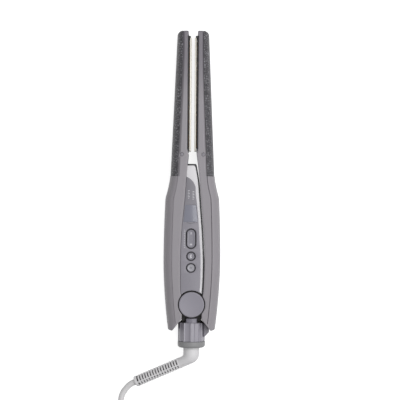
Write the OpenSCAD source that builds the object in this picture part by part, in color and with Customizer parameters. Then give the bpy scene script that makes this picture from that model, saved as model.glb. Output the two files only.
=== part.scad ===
// Hair straightener lying on its side.
// The hinge axis is the Z axis, the tips point along +Y and Z = 0 is the resting plane.

/* [Arms] */
// Length of the tips beyond the plates
tip_len = 7; // [7:0.1:12]
// Thickness of the whole appliance from rear to front
depth = 32; // [31:0.5:36]
// Half width of the closed arms at the tips
tip_half = 15.7; // [15.5:0.1:18]
// Half width of the closed arms at the foot of the barrels
foot_half = 21.9; // [21:0.1:24]
// Half width at the shoulder of the handles
shoulder_half = 26.9; // [26:0.1:30]
// Half width at the belly of the handles
belly_half = 28.4; // [27.5:0.1:31]
// Half width at the tail fins
fin_half = 23.4; // [23:0.1:25]
// Height of the foot of the barrels above the hinge
panel_foot_y = 127; // [125:1:130]
// Height of the shoulder above the hinge
shoulder_y = 105; // [98:1:110]
// Height of the widest point of the handles
belly_y = 45; // [35:1:60]
// Lowest point of the tail fins, below the hinge
fin_drop = 26; // [24:0.5:27]
// Wall thickness of the casings
wall = 2.2; // [1.8:0.1:2.4]
// Wall thickness of the casings under the heat panels
barrel_wall = 1.4; // [1.2:0.1:1.6]
// Step from the handle down on to the barrel
barrel_step = 0.4; // [0:0.1:1]
// Width of the rounded edge of the barrels at their foot
barrel_edge = 7.3; // [7:0.1:7.6]
// How much narrower that edge is at the tips
edge_taper = 1.9; // [1:0.1:2.2]
// Width of the rounded edge of the handles
handle_edge = 8; // [6:0.1:9]
// Inner edge of the casings beside the plates, from the middle
mouth_x = 5; // [4.8:0.1:5.4]
// Corner radius of the tips seen from the front
tip_r = 3.5; // [2.5:0.1:4.5]

/* [Heat panels] */
// Thickness of the textured panels on the barrels
panel_t = 1.6; // [1.2:0.1:1.8]
// Gap between a panel and the casing under it
panel_gap = 0.05; // [0.05:0.05:0.2]

/* [Plates] */
// Height of the foot of the plates above the hinge
plate_foot_y = 152; // [152:0.5:156]
// Length of the plates
plate_len = 112; // [100:0.5:112]
// Width of the plates, front to back
plate_w = 25; // [20:0.5:25]
// Thickness of the plates
plate_t = 1.95; // [1.6:0.05:2.1]
// Half the gap between the plates at rest
plate_gap_half = 1.65; // [1.3:0.05:2]
// Thickness of the heaters behind the plates
heater_t = 2.6; // [2:0.1:3]
// Travel of a plate on its cushions
plate_travel = 0.8; // [0.4:0.1:1]

/* [Hinge] */
// Diameter of the hinge pin
pin_d = 8; // [6:0.5:8]
// Radial clearance of the rings on the pin
pin_fit = 0.05; // [0.03:0.01:0.1]
// Diameter of the hub caps
cap_d = 24.9; // [24:0.1:25.4]
// Width of the dark groove round the hub caps
cap_groove = 1; // [0.8:0.1:1.2]
// Thickness of one hinge ring
ring_t = 3.8; // [3:0.1:4]
// Running gap between neighbouring hinge parts
ring_gap = 0.2; // [0.15:0.05:0.3]

/* [Control pod] */
// Height of the top of the pod above the hinge
pod_top_y = 139.2; // [136:0.1:141]
// Width of the black trim round the pod
trim_w = 1.5; // [1.2:0.1:1.8]
// Height of the rocker above the hinge
rocker_y = 65.1; // [65:0.1:67]
// Height of the mode button above the hinge
mode_y = 47.8; // [47.5:0.1:48.4]
// Height of the power button above the hinge
power_y = 36.3; // [34:0.1:36.5]
// Distance of the buttons from the middle line, to the left
buttons_x = 0.9; // [0:0.1:1.5]
// Length of the rocker
rocker_len = 17.8; // [15:0.1:18.5]
// Width of the rocker
rocker_w = 8; // [7:0.1:8.5]
// Diameter of the mode button
mode_d = 6.9; // [6:0.1:7.3]
// Diameter of the power button
power_d = 7.2; // [6:0.1:7.3]
// Gap round the rocker and the buttons
button_gap = 1.3; // [0.8:0.1:1.3]
// Height of the buttons above the panel
button_rise = 0.5; // [0.3:0.1:1]
// Travel of the round buttons
button_travel = 0.5; // [0.3:0.1:0.6]

/* [Tail] */
// Outer diameter of the lock collar
collar_d = 26.8; // [26:0.1:28]
// Length of the lock collar
collar_len = 18.9; // [17:0.1:19.5]
// Diameter of the tail barrel inside the collar
tail_d = 23.5; // [22:0.1:24]
// Length of the end ring
band_len = 6.2; // [5:0.1:8]
// Diameter of the end ring
band_d = 27.4; // [27:0.1:29]
// Travel of the lock collar toward the hub
lock_travel = 4; // [2:0.5:4]

/* [Lead] */
// Diameter of the lead
cord_d = 6; // [5:0.1:7]
// Length of the ribbed strain relief
relief_len = 49.5; // [40:0.5:52]
// Diameter of the strain relief over its ribs
relief_d = 10; // [9:0.1:11]
// Number of ribs on the strain relief
relief_ribs = 16; // [12:1:18]

/* [Hidden] */
$fn = 48;

left = -1;
right = 1;
tip_y = plate_foot_y + plate_len + tip_len;
mid_z = depth / 2;
edge_steps = 5;
tip_round_z = 2;
edge_drop = 0.4;
small_gap = 0.1;
through = 60;
casing_grey = [0.56, 0.55, 0.57];
panel_grey = [0.36, 0.35, 0.38];
pod_grey = [0.55, 0.55, 0.6];
pod_white = [0.88, 0.88, 0.89];
dark = [0.09, 0.09, 0.1];
steel = [0.75, 0.75, 0.76];
light_plastic = [0.85, 0.85, 0.87];

// Inner edge of each casing's face, as height above the hinge and distance from the middle
left_land = [
    [-30, 9.5], [5, 9.8], [14, 10.9], [39, 11.25], [61, 10.9], [82, 9.5], [103.4, 7.4], [126.6, 5.8],
    [150.5, 3.75]
];
right_land = [
    [-30, 9.8], [5, 10.4], [14, 11.7], [44, 12.55], [73, 11.2], [99, 9], [121, 7.3], [138, 5.5],
    [150.5, 3.8]
];
// Outer edge of the black trim on the right side of the pod
trim_line = [
    [8, 11.3], [20.8, 12.1], [34.3, 12.5], [44.1, 12.45], [72.8, 11.05], [98.9, 8.9], [121.3, 7.05],
    [135.4, 4.75], [139.2, 3.8]
];
// Right edge of the control panel
panel_line = [
    [12.6, 7.9], [30.4, 8.6], [52, 8.4], [62, 7.57], [74.8, 6.9], [92.6, 5.38], [101.5, 4.43],
    [110.3, 3.28], [115.3, 3.24]
];

// Evenly spaced heights from one to another
function spread(from, to, count) = [for (i = [0:count]) from + (to - from) * i / count];

// Smooth curve through the knots of a table, at height y
function knot(t, y) = [for (k = [0:len(t) - 2]) if (y <= t[k + 1][0] || k == len(t) - 2) k][0];
function slope(t, k) =
    let (a = max(k - 1, 0), b = min(k + 1, len(t) - 1))
    (t[b][1] - t[a][1]) / (t[b][0] - t[a][0]);
function curve(t, y) =
    let (
        k = knot(t, y),
        span = t[k + 1][0] - t[k][0],
        s = (y - t[k][0]) / span
    )
    t[k][1] * (1 + 2 * s) * pow(1 - s, 2)
        + slope(t, k) * span * s * pow(1 - s, 2)
        + t[k + 1][1] * s * s * (3 - 2 * s)
        + slope(t, k + 1) * span * s * s * (s - 1);

// How far a rounded tip of radius r draws in at height y
function draw_in(y, r, top = tip_y) =
    y <= top - r ? 0 : r - sqrt(max(0, r * r - pow(y - top + r, 2)));

// Half width of the closed arms at height y
function barrel_half(y) = tip_half + (foot_half - tip_half) * (tip_y - y) / (tip_y - panel_foot_y);
function flare_half(y) =
    let (s = (panel_foot_y - y) / (panel_foot_y - shoulder_y), start = foot_half + barrel_step)
    start + (shoulder_half - start) * pow(s, 1.4);
function handle_half(y) =
    let (s = (y - belly_y) / (shoulder_y - belly_y))
    belly_half - (belly_half - shoulder_half) * pow(s, 1.8);
function tail_half(y) =
    let (s = (belly_y - y) / (belly_y + fin_drop))
    belly_half - (belly_half - fin_half) * pow(s, 1.85);
function half_w(y) =
    y >= panel_foot_y ? barrel_half(y) - draw_in(y, tip_r)
    : y >= shoulder_y ? flare_half(y)
    : y >= belly_y ? handle_half(y)
    : tail_half(y);
function edge_w(y) =
    y >= panel_foot_y
    ? barrel_edge - edge_taper * pow((y - panel_foot_y) / (tip_y - panel_foot_y), 4)
    : barrel_edge + (handle_edge - barrel_edge) * min(1, (panel_foot_y - y) / (panel_foot_y - shoulder_y));
function crease_x(y) = barrel_half_or(y) - edge_w(y);
function barrel_half_or(y) = y >= panel_foot_y ? barrel_half(y) : half_w(y);

// Rounded edge of an arm at height y from the front crease to the rear one, drawn in by inset e
function edge_arc(y, e, start_x) =
    let (
        w = half_w(y) - e,
        c = is_undef(start_x) ? edge_w(y) : w - start_x,
        h = mid_z - e - draw_in(y, tip_round_z)
    )
    [for (i = [-edge_steps:edge_steps])
        let (
            t = 1 - abs(i) / edge_steps,
            s = 1 - t,
            rise = s * s * h + 2 * t * s * (h - edge_drop * c)
        )
        [w - c * s * s, y, mid_z - sign(i) * rise]];

// Skin of a loft: rings of equal length, each an outer run followed by the inner run back
function ring_faces(n, m) = [
    for (j = [0:n - 2])
        for (k = [0:m - 1])
            let (a = j * m + k, b = j * m + (k + 1) % m)
            each [[a, a + m, b], [b, a + m, b + m]]
];
function cap_pair(a, b, c, d, near) = near ? [[a, b, d], [b, c, d]] : [[a, b, c], [a, c, d]];
function cap_faces(start, m, flip) = [
    for (k = [0:m / 2 - 2])
        for (t = cap_pair(start + k, start + k + 1, start + m - 2 - k, start + m - 1 - k, k < m / 4 - 1))
            flip ? [t[2], t[1], t[0]] : t
];
module loft(rings) {
    m = len(rings[0]);
    n = len(rings);
    polyhedron(
        points = [for (r = rings) each r],
        faces = concat(ring_faces(n, m), cap_faces(0, m, false), cap_faces((n - 1) * m, m, true))
    );
}

module on_side(side) {
    if (side == left) mirror([1, 0, 0]) children();
    else children();
}

// Inner edge of a casing's face at height y
function land(y, side) = curve(side == left ? left_land : right_land, y);
function mouth(y, side) =
    y >= plate_foot_y + 2 ? mouth_x - tip_step(y) + draw_in(y, mouth_r) : land(y, side);
function tip_step(y) = y > plate_foot_y + plate_len + 2 ? mouth_step : 0;
mouth_r = 1.5;
mouth_step = 0.5;

// Rings of a casing, each with its outer inset, inner inset and whether its inside is closed
hollow_edge = 5;
function hollow_edge_w(y) = y >= panel_foot_y - 2 ? hollow_edge : edge_w(y);
barrel_ys = spread(plate_foot_y + 2, plate_foot_y + plate_len - 4, 3);
panel_inset = panel_t + panel_gap;
cap_y = tip_y - panel_inset;
end_wall = 2;
face_margin = 0.6;
function upto(list, hi) = [for (p = list) [min(hi, p[0]), p[1], p[2]]];
function back(list) = [for (i = [len(list) - 1:-1:0]) list[i]];
function casing_ring(y, side, outer, inner, closed, capped) =
    let (
        xi = mouth(y, side),
        rear = draw_in(y, tip_round_z),
        front = depth - rear,
        ledge = crease_x(y) - (outer > 0 ? panel_gap : face_margin),
        arc = outer > 0 ? edge_arc(y, outer, ledge) : edge_arc(y, outer),
        skin = upto(arc, capped ? ledge : through),
        hollow = edge_arc(y, inner, half_w(y) - inner - hollow_edge_w(y)),
        count = len(skin) + 4,
        low = rear + wall,
        high = front - wall,
        inside = closed
            ? [for (k = [0:count - 1]) [xi, y, low + (high - low) * k / (count - 1)]]
            : concat(
                [[xi, y, low], [hollow[0][0] - 0.3, y, low]],
                back(hollow),
                [[hollow[0][0] - 0.3, y, high], [xi, y, high]]
            )
    )
    concat([[xi, y, front], [ledge, y, front]], skin, [[ledge, y, rear], [xi, y, rear]], inside);
function casing_rings(side) =
    let (
        tail = concat([-fin_drop - 1], spread(-fin_drop + 8, shoulder_y - 10, 10)),
        flare = [for (s = [0, 0.2, 0.4, 0.6, 0.8]) shoulder_y + s * (panel_foot_y - shoulder_y)],
        thick = panel_inset + barrel_wall
    )
    concat(
        [for (y = concat(tail, flare)) casing_ring(y, side, 0, wall, false, false)],
        [
            casing_ring(panel_foot_y - 2, side, 0, thick, false, false),
            casing_ring(panel_foot_y - small_gap, side, 0, thick, false, false),
            casing_ring(panel_foot_y, side, panel_inset, thick, false, false)
        ],
        [for (y = concat(
            spread(panel_foot_y + 8, plate_foot_y - 3, 2), barrel_ys, [plate_foot_y + plate_len + 1.9]
        ))
            casing_ring(y, side, panel_inset, thick, false, false)],
        [
            casing_ring(plate_foot_y + plate_len + 2.1, side, panel_inset, thick, false, false),
            casing_ring(cap_y - end_wall - 0.4, side, panel_inset, thick, false, false),
            casing_ring(cap_y - end_wall, side, panel_inset, thick, true, false),
            casing_ring(cap_y - end_wall / 2, side, panel_inset + panel_gap, thick, true, false),
            casing_ring(cap_y - small_gap, side, panel_inset + panel_gap, thick, true, false),
            casing_ring(cap_y, side, panel_inset + panel_gap, thick, true, true)
        ],
        [for (a = [20:20:90])
            casing_ring(tip_y - mouth_r * (1 - sin(a)), side, panel_inset, thick, true, true)]
    );

// Hinge stack, counted from either resting face toward the middle
cap_seat = 1.4;
outer_ring_z = [cap_seat, cap_seat + ring_t];
inner_ring_z = [outer_ring_z[1] + ring_gap, outer_ring_z[1] + ring_gap + ring_t];
core_gap = 0.3;
core_z = inner_ring_z[1] + core_gap;
hub_r = cap_d / 2 + cap_groove;
ring_r = hub_r - 0.25;
function front_of(range) = [depth - range[1], depth - range[0]];

module hub_hole() {
    translate([0, 0, -1]) cylinder(r = hub_r, h = depth + 2);
}

// Lower outline of the fins: a slant from the hub to a blunt tip
fin_start = [7.6, -11.5];
fin_inner = [18.4, -fin_drop + 0.7];
fin_tip = [[19.6, -fin_drop], [22.2, -fin_drop]];
fin_outer = [23.2, -fin_drop + 1.2];
module fin_cut() {
    translate([0, 0, -1])
        linear_extrude(depth + 2)
            polygon([
                [-1, fin_start[1]], fin_start, fin_inner, fin_tip[0], fin_tip[1], fin_outer,
                [24.5, -fin_drop + 4],
                [40, -fin_drop + 4], [40, -40], [-1, -40]
            ]);
}

cover_d = 3.5;
cover_at = [10.6, 148.5];
module cover_hole(fit = 0.05) {
    translate([cover_at[0], cover_at[1], depth - wall - 1]) cylinder(d = cover_d + 2 * fit, h = wall + 2);
}

module casing(side) {
    color(casing_grey)
        on_side(side)
            difference() {
                loft(casing_rings(side));
                hub_hole();
                fin_cut();
                cover_hole();
            }
}

// Textured panel over the outside of a barrel, closed round the tip
function panel_ring(y, closed) =
    let (
        edge = crease_x(y),
        skin = edge_arc(y, 0, edge),
        rear = draw_in(y, tip_round_z) + panel_t,
        count = len(skin),
        inside = closed
            ? [for (k = [0:count - 1]) [edge, y, rear + (depth - 2 * rear) * k / (count - 1)]]
            : back(edge_arc(y, panel_t, edge))
    )
    concat(skin, inside);
module heat_panel(side) {
    color(panel_grey)
        on_side(side)
            loft(concat(
                [for (y = concat(
                    [panel_foot_y + panel_gap], barrel_ys,
                    [cap_y - end_wall, cap_y - end_wall / 2, tip_y - panel_t]
                ))
                    panel_ring(y, false)],
                [for (y = [tip_y - panel_t + small_gap, tip_y - 0.8, tip_y - 0.25, tip_y])
                    panel_ring(y, true)]
            ));
}

// Chassis of each arm: a ribbon beside the pod, two hinge rings and a screw boss
ribbon_t = 1.8;
ribbon_foot = 14;
ribbon_top = 147;
ribbon_gap = 0.4;
ribbon_fan = 0.0123;
left_ribbon_shift = 3.3;
function ribbon_x(y, side) =
    side == right
        ? curve(trim_line, min(y, pod_top_y)) + ribbon_gap + ribbon_fan * y
            + max(0, y - pod_top_y) * 0.35
        : land(y, left) + left_ribbon_shift + max(0, y - pod_top_y) * 0.2;
ribbon_steps = concat(spread(ribbon_foot, pod_top_y - 9, 9), [pod_top_y, ribbon_top]);
frame_rear = wall + small_gap;
frame_front = depth - wall - small_gap;
bracket_foot_y = 140;
boss_d = 3.8;
screw_d = 2;
screw_top = depth - wall - 0.4;
screw_len = 10;
left_arm_outline = [
    [0, -12], [12, -10.5], [15.5, 0], [16.8, 10], [17.6, 20], [17.6, 36], [16.7, 46], [14.9, 46],
    [14.9, 9.4], [13, 5.5], [6, 5.5]
];
right_arm_outline = [
    [0, -12], [16, -10.5], [19.4, 0], [20.8, 10], [21.4, 36], [15.6, 46], [13.6, 46], [13.6, 30],
    [12.9, 14], [12.3, 6.6], [6, 6.6]
];
module ring_arm(side) {
    polygon(side == left ? left_arm_outline : right_arm_outline);
}
module arm_ring(side, disc, arm) {
    translate([0, 0, disc[0]]) cylinder(r = ring_r, h = disc[1] - disc[0]);
    translate([0, 0, arm[0]]) linear_extrude(arm[1] - arm[0]) ring_arm(side);
}
module frame(side) {
    disc = side == left ? outer_ring_z : inner_ring_z;
    arm = [max(disc[0], frame_rear), disc[1]];
    color(dark)
        on_side(side)
            difference() {
                union() {
                    arm_ring(side, disc, arm);
                    arm_ring(side, front_of(disc), front_of(arm));
                    translate([0, 0, frame_rear])
                        linear_extrude(frame_front - frame_rear)
                            polygon(concat(
                                [for (y = ribbon_steps) [ribbon_x(y, side), y]],
                                [for (y = back(ribbon_steps)) [ribbon_x(y, side) + ribbon_t, y]]
                            ));
                    translate([0, 0, frame_rear])
                        linear_extrude(screw_top - frame_rear)
                            polygon([
                                [ribbon_x(bracket_foot_y, side), bracket_foot_y],
                                [cover_at[0] + boss_d / 2 - 0.3, bracket_foot_y + 5],
                                [cover_at[0] + boss_d / 2 - 0.3, cover_at[1]],
                                [ribbon_x(ribbon_top, side), ribbon_top]
                            ]);
                    translate([cover_at[0], cover_at[1], frame_rear])
                        cylinder(d = boss_d, h = screw_top - frame_rear);
                }
                translate([0, 0, -1]) cylinder(d = pin_d + 2 * pin_fit, h = depth + 2);
                translate([cover_at[0], cover_at[1], screw_top - screw_len])
                    cylinder(d = screw_d + 0.1, h = screw_len + 5);
            }
}

module screws(side) {
    color(steel)
        on_side(side)
            translate([cover_at[0], cover_at[1], 0]) {
                translate([0, 0, screw_top - screw_len + 0.5]) cylinder(d = screw_d, h = screw_len - 0.5);
                translate([0, 0, screw_top]) cylinder(d = cover_d - 0.3, h = 1);
            }
}
module screw_cover(side) {
    color(panel_grey)
        on_side(side)
            translate([cover_at[0], cover_at[1], screw_top + 1])
                cylinder(d = cover_d, h = depth - screw_top - 1);
}

// Plate, heater and cushions, stacked outward from the middle inside a carrier
plate_r = 0.8;
plate_rear = (depth - plate_w) / 2;
plate_back = plate_gap_half + plate_t;
heater_back = plate_back + heater_t;
cushion_gap = plate_travel + 0.05;
cushion_t = 1.5;
cushion_x = heater_back + cushion_gap;
base_x = cushion_x + cushion_t;
base_t = 1.4;
rim_x = plate_back + 0.3;
rim_rear = frame_rear;
carrier_foot_y = plate_foot_y - 1.2;
carrier_top_y = plate_foot_y + plate_len + 2;
lip_len = 1.7;
lip_x = 2.5;
plate_clear = 0.25;
carrier_half = depth / 2 - rim_rear;
pocket_half = plate_w / 2 + plate_clear;
base_half = 9.6;
pocket_foot_half = 9;
rim_depth = 2;
carrier_section = [
    [rim_x, carrier_half], [rim_x + rim_depth, carrier_half], [rim_x + rim_depth + 0.7, carrier_half - 1.9],
    [base_x + base_t, base_half]
];
pocket_section = [
    [rim_x - 2, pocket_half], [rim_x + 1.3, pocket_half], [rim_x + 3, pocket_foot_half + 0.9],
    [base_x, pocket_foot_half]
];
module channel(half_section, foot_y, len) {
    translate([0, foot_y + len, mid_z])
        rotate([90, 0, 0])
            linear_extrude(len)
                polygon(concat(half_section, [for (p = back(half_section)) [p[0], -p[1]]]));
}
module carrier(side) {
    color(dark)
        on_side(side)
            difference() {
                union() {
                    channel(carrier_section, carrier_foot_y, carrier_top_y - carrier_foot_y);
                    translate([lip_x, carrier_top_y - lip_len, plate_rear])
                        cube([rim_x - lip_x + 1, lip_len, plate_w]);
                }
                channel(pocket_section, plate_foot_y - plate_clear, plate_len + 2 * plate_clear);
            }
}
module plate(side) {
    color([0.85, 0.82, 0.78])
        on_side(side)
            translate([plate_gap_half, plate_foot_y, mid_z])
                rotate([-90, 0, 0])
                    linear_extrude(plate_len)
                        plate_section();
}
module plate_section() {
    hw = plate_w / 2;
    intersection() {
        translate([0, -hw]) square([plate_t, plate_w]);
        union() {
            translate([plate_r, -hw]) square([plate_t, plate_w]);
            translate([0, -hw + plate_r]) square([plate_t, plate_w - 2 * plate_r]);
            translate([plate_r, hw - plate_r]) circle(plate_r);
            translate([plate_r, -hw + plate_r]) circle(plate_r);
        }
    }
}
heater_margin = 3;
module heater(side) {
    color([0.7, 0.6, 0.4])
        on_side(side)
            translate([plate_back, plate_foot_y + heater_margin, plate_rear + heater_margin])
                cube([heater_t, plate_len - 2 * heater_margin, plate_w - 2 * heater_margin]);
}
cushion_w = 8;
cushion_count = 3;
module cushions(side) {
    pitch = plate_len / cushion_count;
    color([0.8, 0.35, 0.3])
        on_side(side)
            for (i = [0:cushion_count - 1])
                translate([cushion_x, plate_foot_y + pitch * (i + 0.5), mid_z])
                    translate([0, -cushion_w / 2, -cushion_w / 2])
                        cube([cushion_t, cushion_w, cushion_w]);
}

// Thermal sensor and fuse, small cylinders clipped to the backs of the heaters
bead_d = 1.3;
bead_len = 6;
module heat_bead(side, y) {
    on_side(side)
        translate([heater_back + bead_d / 2 + 0.05, y, mid_z + 8])
            rotate([-90, 0, 0])
                cylinder(d = bead_d, h = bead_len);
}
module thermal_sensor() {
    color(steel) heat_bead(left, plate_foot_y + plate_len * 0.64);
}
module thermal_fuse() {
    color(steel) heat_bead(right, plate_foot_y + plate_len * 0.64);
}

// Pod between the arms, carried by the left one
pod_front = depth - wall - 0.4;
pod_rear = wall + 0.4;
pod_left_shift = 2.8;
pod_foot_r = hub_r + 0.85;
pod_foot_y = 10;
pod_floor = 2;
cavity_margin = 0.4;
part_fit = 0.05;
pod_ys = spread(pod_foot_y, pod_top_y - 9, 10);
function pod_right(d) = [for (y = concat(pod_ys, [pod_top_y - 3.8])) [curve(trim_line, y) - d, y]];
pod_chamfer = 0.8;
function pod_corner(d) = [
    [curve(trim_line, pod_top_y - pod_chamfer) - d, pod_top_y - pod_chamfer - d],
    [3 - d, pod_top_y - d]
];
function pod_left(shift) = [for (y = back(pod_ys)) [-(land(y, left) + shift), y]];
module foot_round(r) {
    circle(r = r, $fn = 96);
}
module pod_shape(d, left_shift) {
    difference() {
        polygon(concat(
            pod_right(d),
            pod_corner(d),
            [[-(land(pod_top_y, left) + left_shift), pod_top_y - d]],
            pod_left(left_shift)
        ));
        foot_round(pod_foot_r);
    }
}
cavity_foot_y = 18;
cavity_top_y = 112;
module pod_cavity_shape() {
    ys = spread(cavity_foot_y, cavity_top_y, 7);
    polygon(concat(
        [for (y = ys) [curve(panel_line, y) - cavity_margin, y]],
        [[1, cavity_top_y + 7], [-4, cavity_top_y + 9]],
        [for (y = back(ys)) [-(land(y, left) - cavity_margin), y]]
    ));
}
module pod_housing() {
    color(pod_white)
        difference() {
            translate([0, 0, pod_rear])
                linear_extrude(pod_front - pod_rear) pod_shape(trim_w + part_fit, pod_left_shift);
            translate([0, 0, pod_rear + pod_floor]) linear_extrude(depth) pod_cavity_shape();
        }
}
module pod_trim() {
    color(dark)
        translate([0, 0, pod_rear])
            linear_extrude(pod_front - pod_rear)
                difference() {
                    pod_shape(0, pod_left_shift - 0.1);
                    pod_shape(trim_w, pod_left_shift + 3);
                }
}

// Leaf-shaped panel with openings for the window, the rocker and the buttons
panel_front = depth + 0.1;
panel_land_gap = 0.22;
panel_arc = [[1.93, 119.6], [-0.76, 123.2], [-5.4, 126.6]];
panel_arc_foot_y = 115.3;
window_foot_y = 81.7;
window_len = 16.8;
window_margin = 0.8;
window_t = 1.1;
module panel_shape() {
    ys = spread(pod_foot_y + 1, panel_arc_foot_y, 10);
    difference() {
        polygon(concat(
            [for (y = ys) [curve(panel_line, y), y]],
            panel_arc,
            [for (y = back(ys)) [-(land(y, left) - panel_land_gap), y]]
        ));
        foot_round(hub_r + 0.55);
    }
}
module window_shape(d) {
    ys = spread(window_foot_y + d, window_foot_y + window_len - d, 3);
    polygon(concat(
        [for (y = ys) [curve(panel_line, y) - window_margin - d, y]],
        [for (y = back(ys)) [-(land(y, left) - panel_land_gap - window_margin - d), y]]
    ));
}
module slot_shape(len, w) {
    r = w / 2;
    for (s = [-1, 1]) translate([0, s * (len / 2 - r)]) circle(r);
    square([w, len - w], center = true);
}
module control_panel() {
    color(pod_grey) {
        translate([0, 0, pod_front])
            linear_extrude(panel_front - pod_front)
                difference() {
                    panel_shape();
                    window_shape(0);
                    translate([-buttons_x, rocker_y])
                        slot_shape(rocker_len + 2 * button_gap, rocker_w + 2 * button_gap);
                    translate([-buttons_x, mode_y]) circle(d = mode_d + 2 * button_gap);
                    translate([-buttons_x, power_y]) circle(d = power_d + 2 * button_gap);
                }
        rocker_hangers();
    }
}

// Lugs under the control panel with the bores that the rocker's trunnions turn in
trunnion_d = 1.4;
trunnion_len = 1.1;
lug_t = 1;
lug_len = 3;
lug_drop = 1.3;
lug_gap = 0.2;
module rocker_hangers() {
    difference() {
        for (s = [-1, 1])
            translate([
                -buttons_x + s * (rocker_flange_half + lug_gap + lug_t / 2) - lug_t / 2,
                rocker_y - lug_len / 2,
                rocker_axis_z - lug_drop
            ])
                cube([lug_t, lug_len, pod_front - rocker_axis_z + lug_drop + 1]);
        rocker_axle(trunnion_d + 2 * pin_fit, 2 * rocker_flange_half + 10);
    }
}
module rocker_axle(d, len) {
    translate([-buttons_x - len / 2, rocker_y, rocker_axis_z])
        rotate([0, 90, 0])
            cylinder(d = d, h = len, $fn = 24);
}
module rear_panel() {
    color(pod_grey) linear_extrude(pod_rear) panel_shape();
}
module display_window() {
    color([0.45, 0.48, 0.58])
        translate([0, 0, panel_front - window_t]) linear_extrude(window_t) window_shape(part_fit);
}

// Circuit board with the digit module and the switches under the buttons
board_t = 1.6;
board_front = pod_front - 3.8;
flange_rim = 0.5;
flange_t = 1;
rocker_drop = 0.8;
rocker_tilt = 3;
switch_w = 4;
switch_t = 1.1;
plunger_d = 1.6;
switch_gap = 0.1;
button_flange_top = pod_front - 0.2;
button_foot = button_flange_top - flange_t;
rocker_flange_top = pod_front - rocker_drop;
rocker_foot = rocker_flange_top - flange_t;
rocker_switch_y = 6;
rocker_dip = rocker_switch_y * sin(rocker_tilt) + switch_gap;
rocker_flange_half = rocker_w / 2 + button_gap + flange_rim;
rocker_axis_z = rocker_foot + 0.3;
board_foot_y = 20;
board_top_y = 99;
board_margin = 0.6;
module circuit_board() {
    ys = spread(board_foot_y, board_top_y, 5);
    color([0.1, 0.35, 0.2])
        translate([0, 0, board_front - board_t])
            linear_extrude(board_t)
                polygon(concat(
                    [for (y = ys) [curve(panel_line, y) - board_margin, y]],
                    [for (y = back(ys)) [-(land(y, left) - board_margin), y]]
                ));
}
module display_module() {
    color(dark)
        translate([0, 0, board_front])
            linear_extrude(panel_front - window_t - board_front)
                intersection() {
                    window_shape(0.4);
                    translate([-6.2, window_foot_y]) square([11.4, window_len]);
                }
}
module tact_switch(y, top) {
    translate([-buttons_x, y, board_front]) {
        translate([-switch_w / 2, -switch_w / 2, 0]) cube([switch_w, switch_w, switch_t]);
        cylinder(d = plunger_d, h = top - board_front);
    }
}
module tact_switches() {
    color(dark) {
        for (s = [-1, 1]) tact_switch(rocker_y + s * rocker_switch_y, rocker_foot - rocker_dip);
        tact_switch(mode_y, button_foot - button_travel - switch_gap);
        tact_switch(power_y, button_foot - button_travel - switch_gap);
    }
}
module rocker() {
    color(pod_grey) {
        rocker_axle(trunnion_d, 2 * (rocker_flange_half + trunnion_len));
        translate([-buttons_x, rocker_y, 0]) {
            translate([0, 0, rocker_foot])
                linear_extrude(flange_t)
                    slot_shape(
                        rocker_len + 2 * button_gap + 2 * flange_rim,
                        rocker_w + 2 * button_gap + 2 * flange_rim
                    );
            translate([0, 0, rocker_flange_top])
                linear_extrude(panel_front + button_rise - rocker_flange_top)
                    slot_shape(rocker_len, rocker_w);
        }
    }
}
module round_button(y, d) {
    translate([-buttons_x, y, 0]) {
        translate([0, 0, button_foot]) cylinder(d = d + 2 * button_gap + 2 * flange_rim, h = flange_t);
        translate([0, 0, button_flange_top])
            cylinder(d = d, h = panel_front + button_rise - button_flange_top);
    }
}
module mode_button() {
    color(pod_grey) round_button(mode_y, mode_d);
}
module power_button() {
    color(light_plastic) round_button(power_y, power_d);
}

// Hub in the middle of the hinge, with its neck and the tail barrel
core_r = 12.4;
spring_r = 6.4;
spring_wire = 1.4;
spring_turns = 3;
spring_pocket_r = 8.4;
spring_pocket_z = depth - core_z - 5.5;
neck_half_x = 5.3;
neck_half_z = mid_z - inner_ring_z[0] - ring_gap;
neck_top_y = -14;
neck_overlap = 1;
tail_top_y = -17;
collar_top_y = -18.5;
collar_foot_y = collar_top_y - collar_len;
band_foot_y = collar_foot_y - band_len;
slide_fit = 0.05;
module neck_shape() {
    hull()
        for (s = [-1, 1])
            translate([0, s * (neck_half_z - neck_half_x)]) circle(neck_half_x, $fn = 32);
}
module along_tail(from_y) {
    translate([0, from_y, mid_z]) rotate([90, 0, 0]) children();
}
module hub_core() {
    color(dark)
        difference() {
            union() {
                translate([0, 0, core_z]) cylinder(r = core_r, h = depth - 2 * core_z);
                translate([-neck_half_x, neck_top_y - neck_overlap, core_z])
                    cube([2 * neck_half_x, core_r, depth - 2 * core_z]);
                along_tail(neck_top_y)
                    linear_extrude(neck_top_y - tail_top_y + neck_overlap) neck_shape();
                along_tail(tail_top_y) cylinder(d = tail_d, h = tail_top_y - collar_foot_y);
            }
            translate([0, 0, -1]) cylinder(d = pin_d + 2 * pin_fit, h = depth + 2);
            translate([0, 0, spring_pocket_z]) cylinder(r = spring_pocket_r, h = depth);
        }
}
module hinge_pin() {
    color(steel) translate([0, 0, cap_seat - 0.2]) cylinder(d = pin_d, h = depth - 2 * cap_seat + 0.4);
}
washer_t = 0.2;
module hinge_washers() {
    color(steel)
        for (z = [core_z - washer_t, depth - core_z])
            translate([0, 0, z])
                difference() {
                    cylinder(r = core_r - 0.4, h = washer_t);
                    translate([0, 0, -1]) cylinder(r = spring_pocket_r + 0.6, h = 3);
                }
}
rear_cap_t = 1.2;
front_cap_t = 2.2;
module front_hub_cap() {
    bevel = 0.4;
    color(casing_grey)
        translate([0, 0, depth - rear_cap_t])
            rotate_extrude($fn = 96)
                polygon([
                    [0, 0], [cap_d / 2, 0], [cap_d / 2, front_cap_t - bevel],
                    [cap_d / 2 - bevel, front_cap_t], [0, front_cap_t]
                ]);
}
module rear_hub_cap() {
    color(casing_grey) cylinder(d = cap_d, h = rear_cap_t, $fn = 96);
}

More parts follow.
